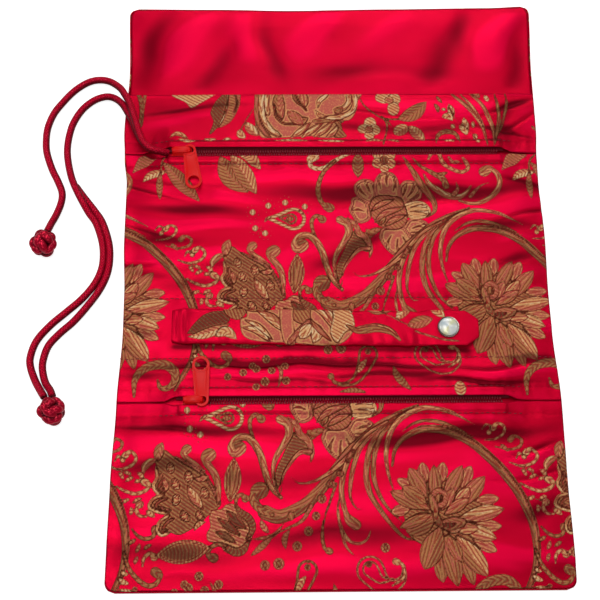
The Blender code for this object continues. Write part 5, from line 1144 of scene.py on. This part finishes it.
def middle_detail(x, y):
    z = seam(x, y, SEAMS["upper"], 0.4, 5.0, 21) + seam(x, y, SEAMS["lower"], 0.4, 4.0, 22)
    z += seam(x, y, SEAMS["strap_top"], 0.35, 3.0, 23) + seam(x, y, SEAMS["strap_low"], 0.35, 3.0, 24)
    return clear_of_pieces(x, y, z + folded(x, y, MIDDLE_FOLDS, 25, 0.16))


def lower_detail(x, y):
    return seam(x, y, SEAMS["pocket"], 0.4, 4.0, 31) + folded(x, y, LOWER_FOLDS, 32, 0.14)


def flap_detail(x, y):
    open_part = smooth(SEAM_Y, SEAM_Y + 5.0, y) * smooth(0.0, 5.0, 147.0 - y)
    return 1.5 * folded(x, y, FLAP_FOLDS, 41, 0.04) * open_part


def write_values(thing, **columns):
    for name, values in columns.items():
        layer = thing.data.attributes.new(name, "FLOAT", "POINT")
        layer.data.foreach_set("value", np.asarray(values, np.float32))


def figured(thing, points, shifts=(), lines=()):
    """Weaves the design into a cloth at each shift, then its own lines."""
    figure = Figure(points[:, 0], points[:, 1])
    for shift in shifts:
        figure.design(shift)
    for line in lines:
        figure.shape(line, (0.0, 0.0))
    write_values(thing, edge=figure.edge, inner=figure.inner, tone=figure.tone, thread=figure.thread)


upper, points = cloth_sheet(
    "upper_strip_cloth", "upper_strip", (UPPER_Y + 2.2, SEAM_Y), lambda x: UPPER_Y + upper_gap(x),
    lambda x: SEAM_Y, 0.4, upper_detail, brocade, 1.6)
figured(upper, points, lines=STRIP)
middle, points = cloth_sheet(
    "middle_panel_cloth", "middle_panel", (LOWER_Y + 1.8, UPPER_Y - 2.2), lambda x: LOWER_Y + lower_gap(x),
    lambda x: UPPER_Y - upper_gap(x), 0.4, middle_detail, brocade, 1.7)
figured(middle, points, shifts=((29.0, 98.2),))
lower, points = cloth_sheet(
    "lower_panel_cloth", "lower_panel", (-EDGE_Y, LOWER_Y - 1.8), lambda x: -EDGE_Y,
    lambda x: LOWER_Y - lower_gap(x), 0.4, lower_detail, brocade, 1.5)
figured(lower, points, shifts=((0.0, -0.4),))
lining, points = cloth_sheet(
    "lining_cloth", "lining", (-LINING_Y, LINING_Y), lambda x: -LINING_Y, lambda x: sag_top(x, LINING_Y),
    LINING_INSET, flap_detail, satin, 0.6, step=0.9, thick=0.4)
for thing, node, slot in ((upper, "upper_strip", "brocade"), (middle, "middle_panel", "brocade"),
                          (lower, "lower_panel", "brocade"), (lining, "lining", "satin")):
    stand_for(thing, node, slot)


def outer_cloth():
    """Brocade of the outside: flat underneath, turned up round the edge to a narrow rim."""
    rows = int(LENGTH / 1.1)
    columns = int(WIDTH / 1.1)
    v = np.linspace(0.0, 1.0, rows)[:, None]
    u = np.linspace(0.0, 1.0, columns)[None, :]
    row = -LENGTH / 2.0 + LENGTH * v
    left, right = side_x(row, -1), side_x(row, 1)
    x = left + (right - left) * u
    y = sag_top(x, row + 0.0 * x)
    inside = np.minimum(np.minimum(x - left, right - x), np.minimum(y + LENGTH / 2, LENGTH / 2 - y))
    z = 0.02 + 0.28 * (1 - smooth(0.0, 2.2, inside)) + 0.16 * smooth(4.0, 12.0, inside)
    rim = ((0.0, 0.9), (0.0, 1.7), (-0.12, 2.15), (-0.35, 2.3), (-0.6, 2.2), (-0.6, 0.6))
    verts, faces = hemmed(np.stack([x, y, z], -1), rim, underside=True)
    thing = add_mesh("outer_cloth", verts, faces, brocade)
    mirrored = verts * (-1.0, 1.0, 1.0)
    figured(thing, mirrored, shifts=((10.0, 20.0), (100.0, 145.0), (10.0, 270.0)))
    write_values(thing, crease=np.zeros(len(verts)))
    return thing


outer = outer_cloth()
stand_for(outer, "outer_panel", "brocade")


def tube(name, path, radius, material, sides):
    """A round tube along a smooth path, with its length and turn kept as attributes."""
    tangent = np.gradient(path, axis=0)
    tangent /= np.linalg.norm(tangent, axis=1)[:, None]
    up = np.tile([0.0, 0.0, 1.0], (len(path), 1))
    side = np.cross(tangent, up)
    side /= np.linalg.norm(side, axis=1)[:, None]
    up = np.cross(side, tangent)
    along = np.concatenate([[0.0], np.cumsum(np.linalg.norm(np.diff(path, axis=0), axis=1))])
    turns = np.array(round_turns(sides))
    ring = np.cos(turns)[None, :, None] * side[:, None, :] + np.sin(turns)[None, :, None] * up[:, None, :]
    verts = (path[:, None, :] + radius * ring).reshape(-1, 3)
    thing = add_mesh(name, verts, ring_faces(len(path), sides), material)
    write_values(thing, along=np.repeat(along, sides), around=np.tile(turns, len(path)))
    return thing, along[-1]


# Passes of the cord seen on a button knot: (way out from the middle, way along, half length, half width).
LOBES = (
    ((-0.28, 0.86, 0.42), (1.0, 0.2, 0.0), 3.3, 2.3), ((0.76, 0.6, 0.3), (0.6, -0.8, 0.0), 3.0, 2.1),
    ((-0.9, -0.1, 0.38), (0.1, 1.0, 0.2), 3.5, 2.2), ((-0.36, -0.02, 0.93), (0.25, 1.0, 0.0), 3.7, 2.2),
    ((0.46, 0.2, 0.86), (0.9, -0.45, 0.0), 3.4, 2.3), ((0.92, -0.25, 0.3), (0.1, 1.0, 0.0), 3.3, 2.0),
    ((0.08, -0.6, 0.8), (-0.35, 1.0, 0.0), 3.7, 2.3), ((0.66, -0.66, 0.36), (0.7, 0.7, 0.2), 3.5, 2.1),
    ((-0.62, -0.7, 0.36), (0.7, -0.7, 0.0), 3.4, 2.1), ((0.14, 0.6, 0.8), (0.9, 0.4, 0.0), 3.2, 2.0),
    ((-0.4, 0.6, -0.7), (1.0, 0.4, 0.0), 3.5, 2.3), ((0.7, 0.3, -0.65), (0.4, -0.9, 0.0), 3.5, 2.3),
    ((-0.7, -0.4, -0.6), (0.5, -0.9, 0.0), 3.5, 2.3), ((0.3, -0.65, -0.7), (1.0, 0.4, 0.0), 3.5, 2.3),
    ((0.0, 0.0, -1.0), (0.7, 0.7, 0.0), 3.3, 2.3),
)


def button_knot(name, node, centre, turn):
    """Round knot of one cord: each pass a plump glossy lobe over the ones beside it."""
    verts, faces, around = [], [], []
    rings, sides = 15, 20
    for outward, along, half_length, half_width in LOBES:
        out = Vector(outward).normalized()
        way = Vector(along)
        way = (way - out * way.dot(out)).normalized()
        side = out.cross(way)
        faces += ring_faces(rings, sides, len(verts))
        for r in range(rings):
            tilt = math.pi * ((r + 0.5) / rings - 0.5)
            for angle in round_turns(sides):
                bend = 0.16 * half_length * math.sin(tilt) ** 2
                verts.append(out * (4.35 - bend + 2.6 * math.cos(tilt) * math.sin(angle))
                             + way * half_length * math.sin(tilt)
                             + side * half_width * math.cos(tilt) * math.cos(angle))
                around.append(angle)
    turned_round = Matrix.Rotation(math.radians(turn), 3, "Z")
    placed = np.array([tuple(turned_round @ at + Vector(centre)) for at in verts])
    placed[:, 2] = np.maximum(placed[:, 2], 0.05)
    thing = add_mesh(name, placed, faces, knot_red)
    write_values(thing, around=around)
    stand_for(thing, node, "cord")
    return thing


knots = {
    "cord_single": button_knot("knot_single_woven", "knot_single", KNOTS["knot_single"], 0.0),
    "cord_double": button_knot("knot_double_woven", "knot_double", KNOTS["knot_double"], 78.0),
}
ROUTES = {"cord_single": SINGLE_ROUTE, "cord_double": DOUBLE_ROUTE, "cord_return": RETURN_ROUTE}
for name, route in ROUTES.items():
    path = curve_points(route, 0.6) + (0.0, 0.0, 0.25)
    rope, length = tube(f"{name}_satin", path, CORD_RADIUS, cord_red, 16)
    stand_for(rope, name, "cord")
    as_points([tuple(p * MM) for p in path[::3]] + [tuple(path[-1] * MM)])


def ring_strap():
    """Padded strap for rings: a soft tube, folded in at its sewn end and flat at the snap."""
    left, right, width = STRAP["left"], STRAP["right"], STRAP["width"]
    stations = np.concatenate([np.arange(left, right - 0.3, 0.6), [right - 0.25]])
    low = STRAP["low"] + STRAP["thick"] * smooth(SNAP_X - 15.1, SNAP_X - 5.9, stations)
    depth = STRAP["thick"] * (0.72 + 0.28 * smooth(left, left + 10.0, stations))
    depth += (STRAP["flat"] - depth) * smooth(SNAP_X - 17.1, SNAP_X - 6.1, stations)
    half = width / 2.0 - 0.75 * np.clip(stations - right + 6.0, 0.0, 6.0)
    half *= 1.0 - 0.06 * (1 - smooth(left, left + 3.0, stations))
    # Round the strap: 36 points over its top, two down each side and 12 back underneath.
    top_points, low_points = 36, 12
    across = np.concatenate([np.linspace(0.98, -0.98, top_points), [-0.995, -0.995],
                             np.linspace(-0.96, 0.96, low_points), [0.995, 0.995]])
    sides = len(across)
    rise = 0.5 + 0.5 * (1 - np.abs(across) ** 3.2) ** 0.5
    rise[top_points:] = [0.42, 0.24] + [0.0] * low_points + [0.24, 0.42]
    x = np.repeat(stations[:, None], sides, 1)
    side = half[:, None] * across[None, :]
    y = strap_line(x) + side + 0.18 * ripples(x, 52, 8, 6.0, 22.0) * across[None, :]
    z = low[:, None] + depth[:, None] * rise[None, :]
    top = np.clip(rise[None, :] - 0.5, 0.0, 1.0) * 2.0
    soft = 1 - smooth(SNAP_X - 16.0, SNAP_X - 8.0, x)
    wave = 0.22 * ripples(x + 0.3 * side, 53, 9, 5.0, 18.0) * smooth(0.0, 7.0, np.abs(side)) * soft
    pleats = 0.9 * (ridge(x, side, (left + 1.4, 0.0), 9.0, 0.9, 1.0, 90)
                    + ridge(x, side, (left + 4.4, 0.0), 9.0, 0.9, 1.0, 90)
                    - ridge(x, side, (left + 2.9, 0.0), 9.0, 0.7, 1.0, 90)
                    - ridge(x, side, (left + 6.2, 0.0), 9.0, 1.0, 0.9, 90))
    z += top * (wave + 0.55 * pleats)
    verts = np.stack([x, y, z], -1).reshape(-1, 3)
    # The points run the other way round here, so each face is turned over.
    faces = [face[::-1] if len(face) > 4 else face[:1] + face[:0:-1]
             for face in ring_faces(len(stations), sides)]
    thing = add_mesh("ring_strap_cloth", verts, faces, brocade)
    figured(thing, verts, lines=STRAP_DESIGN)
    # Painted shade down the strap's sides and underside, and in the hollows of the pleats at its sewn end.
    painted_side_shade = np.broadcast_to(1 - smooth(0.1, 0.6, rise[None, :]), x.shape)
    crease = 0.55 * painted_side_shade + 0.5 * np.clip(-pleats, 0.0, 1.0) * soft
    write_values(thing, crease=np.clip(crease, 0.0, 1.0).ravel())
    stand_for(thing, "ring_strap", "brocade")


ring_strap()


def instances(name, shape, faces, places, turns, material):
    """One mesh of many copies of a small shape, each at its own place and turn in the plane."""
    verts, made = [], []
    for k, (place, turn) in enumerate(zip(places, turns)):
        c, s = math.cos(turn), math.sin(turn)
        moved = shape @ np.array([[c, s, 0.0], [-s, c, 0.0], [0.0, 0.0, 1.0]]) + place
        verts.append(moved)
        made += [tuple(i + k * len(shape) for i in face) for face in faces]
    return add_mesh(name, np.vstack(verts), made, material)


def bead(length, width, height, sides, power):
    """A small rounded bar along X, fuller as the power falls."""
    rings = 5
    verts = []
    for r in range(rings):
        tilt = math.pi * (r + 0.5) / rings - math.pi / 2.0
        ring = math.cos(tilt) ** power
        for turn in round_turns(sides):
            verts.append((length / 2 * math.sin(tilt), width / 2 * ring * math.cos(turn),
                          height / 2 * ring * math.sin(turn)))
    return np.array(verts), ring_faces(rings, sides)


def stitch_row(name, thing, start, end, y):
    """A row of stitches that lies on a cloth."""
    height = drop_onto(thing.data, 0.05)
    shape, faces = bead(1.7, 0.42, 0.34, 6, 0.6)
    places, turns = [], []
    for x in np.arange(start, end, 2.5):
        at = y + 0.12 * math.sin(1.7 * x)
        z = height(x, at)
        if not np.isnan(z):
            places.append((x, at, z + 0.03))
            turns.append(0.12 * math.sin(2.3 * x))
    row = instances(name, shape, faces, places, turns, thread_red)


for name, cloth, start, end in (
        ("strip", upper, -86.0, 88.0), ("upper", middle, -88.0, 88.0), ("strap_top", middle, -99.0, 99.0),
        ("strap_low", middle, -99.0, 99.0), ("lower", middle, -80.0, 84.0), ("pocket", lower, -80.0, 84.0)):
    stitch_row(f"stitches_{name}", cloth, start, end, SEAMS[name])


def zip_coils(label, start, zip_y, end, travel):
    """Two rows of nylon loops, one beside the other."""
    shape, faces = bead(0.78, 2.0, 0.95, 8, 0.7)
    for half, side, shift in (("top", 1, 0.0), ("bottom", -1, 0.6)):
        places = [(x, zip_y + side * 0.85, 4.72) for x in np.arange(start + shift, end, 1.2)]
        row = instances(f"{label}_coil_{half}_loops", shape, faces, places, [0.0] * len(places), coil_red)
        stand_for(row, f"{label}_zip_coil_{half}", "zip_coil")
        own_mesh(row)


for label, run in ZIPS.items():
    zip_coils(label, *run)


def prism(name, outline, low, high):
    """An upright block over an outline."""
    count = len(outline)
    verts = [(x * MM, y * MM, z * MM) for z in (low, high) for x, y in outline]
    faces = [tuple(range(count - 1, -1, -1)), tuple(range(count, 2 * count))]
    faces += [(k, (k + 1) % count, (k + 1) % count + count, k + count) for k in range(count)]
    mesh = bpy.data.meshes.new(name)
    mesh.from_pydata(verts, [], faces)
    thing = bpy.data.objects.new(name, mesh)
    bpy.context.scene.collection.objects.link(thing)
    return thing


def settle(thing):
    """Turns a piece's modifiers into its mesh."""
    graph = bpy.context.evaluated_depsgraph_get()
    mesh = bpy.data.meshes.new_from_object(thing.evaluated_get(graph))
    thing.modifiers.clear()
    thing.data = mesh


def combine(body, other, operation="DIFFERENCE"):
    """Cuts a block out of a body, or joins it on."""
    step = body.modifiers.new("join", "BOOLEAN")
    step.operation = operation
    step.object = other
    settle(body)
    bpy.data.objects.remove(other)


def soften(thing, width, angle=35.0, segments=3):
    """Rounds the edges that turn by more than an angle."""
    step = thing.modifiers.new("edges", "BEVEL")
    step.width = width * MM
    step.segments = segments
    step.limit_method = "ANGLE"
    step.angle_limit = math.radians(angle)
    settle(thing)
    thing.data.shade_smooth()
    thing.data.set_sharp_from_angle(angle=math.radians(50.0))


def finish_piece(thing, name, material, body, node, slot):
    """Gives a finished piece its name, material and body, and hides the CAD node it stands in for."""
    thing.name = name
    thing.data.materials.clear()
    thing.data.materials.append(material)
    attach(thing, body)
    stand_for(thing, node, slot)


def tab_outline(eye, end):
    """Outline of a pull tab: round its eye at one end and round its finger hole at the other."""
    steps = 26
    half_turns = [math.pi * k / steps for k in range(steps + 1)]
    points = [(eye * math.cos(turn), eye * math.sin(turn)) for turn in half_turns]
    for half_turn in half_turns:
        turn = math.pi + half_turn
        points.append((end * math.cos(turn), -TAB_REACH + end * math.sin(turn)))
    return points


def circle(radius, y=0.0, flat=None):
    """A circle on the tab's middle line, cut straight at the height called flat."""
    points = [(radius * math.cos(turn), radius * math.sin(turn)) for turn in round_turns(48)]
    return [(px, (py if flat is None else max(py, flat)) + y) for px, py in points]


def pull_tab(label, pivot, heading):
    """Pull tab: raised rim, sunk middle, a D-shaped eye round the bridge and a finger hole."""
    tab = prism(f"{label}_blank", tab_outline(3.1, 4.0), 7.3, TAB_TOP)
    combine(tab, prism("sunk", tab_outline(2.4, 3.3), 7.85, 9.5))
    combine(tab, prism("island", tab_outline(1.75, 2.6), 7.4, 8.3), "UNION")
    combine(tab, prism("eye_rim", circle(2.95), 7.4, TAB_TOP), "UNION")
    combine(tab, prism("hole_rim", circle(3.6, -TAB_REACH), 7.4, TAB_TOP), "UNION")
    combine(tab, prism("eye", circle(2.0, flat=-1.45), 6.0, 10.0))
    combine(tab, prism("hole", circle(2.75, -TAB_REACH), 6.0, 10.0))
    soften(tab, 0.13)
    tab.data.transform(Matrix.Translation((pivot[0] * MM, pivot[1] * MM, 0.0))
                       @ Matrix.Rotation(math.radians(heading), 4, "Z"))
    finish_piece(tab, f"{label}_tab", paint, f"{label}_pull", f"{label}_pull_tab", "red_paint")


pull_tab("upper", (-69.6325, UPPER_Y), 8.0)
pull_tab("lower", (-61.4325, LOWER_Y), 182.5)


def bridge_bar(x, y):
    """Rounded bar over the pull tab's eye, thickest in its middle."""
    rings, sides = 40, 20
    t = np.linspace(0.0, 1.0, rings)
    turn = math.pi * (1 - t)
    px = 4.0 * np.sign(np.cos(turn)) * np.abs(np.cos(turn)) ** 0.6
    pz = 5.9 + 3.3 * np.sin(turn) ** 0.5
    path = np.stack([px, np.zeros(rings), pz], 1)
    tangent = np.gradient(path, axis=0)
    tangent /= np.linalg.norm(tangent, axis=1)[:, None]
    side = np.array([0.0, 1.0, 0.0])
    up = np.cross(tangent, side)
    half_width = 0.95 + 0.75 * smooth(0.0, 0.45, 1 - np.abs(2 * t - 1))
    verts = [path[k] + side * half_width[k] * math.cos(angle) + up[k] * 0.58 * math.sin(angle) + (x, y, 0.0)
             for k in range(rings) for angle in round_turns(sides)]
    return verts, ring_faces(rings, sides)


def slider(label, x, y):
    """Slider of the model with its edges rounded, and a full bridge bar."""
    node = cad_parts[f"{label}_slider"]
    mesh = node.data.copy()
    mesh.transform(node.matrix_world)
    work = bmesh.new()
    work.from_mesh(mesh)
    bmesh.ops.remove_doubles(work, verts=work.verts, dist=1e-6)
    bmesh.ops.dissolve_limit(work, angle_limit=math.radians(1.0), verts=work.verts, edges=work.edges)
    work.to_mesh(mesh)
    work.free()
    name = f"{label}_slider_rounded"
    thing = bpy.data.objects.new(name, mesh)
    bpy.context.scene.collection.objects.link(thing)
    soften(thing, 0.14, 30.0, 2)
    finish_piece(thing, name, paint, f"{label}_slider", f"{label}_slider", "red_paint")
    bar = add_mesh(f"{label}_slider_bridge", *bridge_bar(x, y), paint, f"{label}_slider")


for label, (start, zip_y, _, _) in ZIPS.items():
    slider(label, start, zip_y)


def turned(name, profile, centre, material, node, slot, closed=False):
    """A round piece turned from its profile of (radius, height)."""
    steps = 72
    verts = [(centre[0] + r * math.cos(turn), centre[1] + r * math.sin(turn), z)
             for r, z in profile for turn in round_turns(steps)]
    thing = add_mesh(name, verts, ring_faces(len(profile), steps, closed=closed), material)
    thing.data.set_sharp_from_angle(angle=math.radians(50.0))
    write_values(thing, around=np.tile(np.arange(steps) / steps, len(profile)))
    stand_for(thing, node, slot)


snap_centre = (SNAP_X, strap_line(SNAP_X))
cap_low = STRAP["low"] + STRAP["thick"] + STRAP["flat"] + 0.3
cap_profile = ((3.4, 0.0), (4.9, 0.0), (5.1, 0.25), (5.05, 0.6), (4.85, 0.85), (4.6, 0.8), (4.55, 0.3),
               (3.4, 0.3))
turned("snap_cap_rim", [(radius, cap_low + rise) for radius, rise in cap_profile], snap_centre, metal,
       "snap_cap_ring", "snap_metal", closed=True)
dome = [(3.9, cap_low + 0.6), (4.35, cap_low + 0.9)]
dome += [(4.35 * math.cos(a) + 0.02, cap_low + 0.9 + 1.25 * math.sin(a)) for a in np.linspace(0.15, 1.55, 12)]
turned("snap_pearl_face", dome, snap_centre, pearl, "snap_pearl", "pearl")

# Materials of the CAD nodes that stay.
STAYING = {"wadding": felt, "snap_back_ring": metal, "snap_stud": metal, "snap_socket": metal}
for name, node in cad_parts.items():
    material = STAYING.get(name) or (tape_red if "tape" in name else None)
    if material:
        node.data.materials.clear()
        node.data.materials.append(material)

# Camera set to the photo's view, with the floor and the light.
camera_data = bpy.data.cameras.new("camera")
camera_data.lens = 78.0
camera_data.sensor_width = 36.0
camera = bpy.data.objects.new("camera", camera_data)
camera.location = (-0.02408110, -0.23131777, 0.57098374)
camera.rotation_euler = (0.366275272, -0.00945815619, -0.00915838407)
bpy.context.scene.collection.objects.link(camera)
bpy.context.scene.camera = camera

table_nodes = Nodes("white_table")
tree = table_nodes.tree
tree.nodes.remove(table_nodes.shader)
ray = table_nodes.add("LightPath")
seen = ray.outputs["Is Camera Ray"]
plain = table_nodes.add("BsdfDiffuse", Color=(0.8, 0.8, 0.8, 1.0))
strength = table_nodes.math("MULTIPLY", seen, 0.8)
glow = table_nodes.add("Emission", Color=(1.0, 1.0, 1.0, 1.0), Strength=strength)
both = table_nodes.add("AddShader", in0=plain.outputs[0], in1=glow.outputs[0])
tree.links.new(both.outputs[0], tree.nodes["Material Output"].inputs["Surface"])
mesh = bpy.data.meshes.new("table")
mesh.from_pydata([(-3, -3, 0), (3, -3, 0), (3, 3, 0), (-3, 3, 0)], [], [(0, 1, 2, 3)])
mesh.materials.append(table_nodes.material)
table = bpy.data.objects.new("table", mesh)
bpy.context.scene.collection.objects.link(table)

world = bpy.data.worlds.new("studio")
bpy.context.scene.world = world
world.use_nodes = True
world.node_tree.nodes["Background"].inputs["Color"].default_value = (1.0, 1.0, 1.0, 1.0)
world.node_tree.nodes["Background"].inputs["Strength"].default_value = 0.16

# Softboxes round the table: (name, place, size, power).
for name, place, size, power in (
        ("top_box", (-0.12, 0.0, 1.0), (0.7, 0.3), 2.6), ("near_box", (0.2, 0.42, 1.0), (0.5, 0.1), 0.6),
        ("far_box", (0.1, 1.05, 0.9), (0.8, 0.2), 3.3), ("left_box", (-0.9, 0.25, 0.75), (0.2, 0.5), 1.7),
        ("right_box", (0.95, 0.3, 0.8), (0.2, 0.5), 0.8), ("front_box", (0.1, -0.9, 0.7), (0.8, 0.2), 1.2)):
    light = bpy.data.lights.new(name, "AREA")
    light.shape = "RECTANGLE"
    light.size, light.size_y = size
    light.energy = power
    lamp = bpy.data.objects.new(name, light)
    lamp.location = place
    lamp.rotation_euler = (-Vector(place)).to_track_quat("-Z", "Y").to_euler()
    bpy.context.scene.collection.objects.link(lamp)

bpy.context.scene.view_settings.view_transform = "Standard"
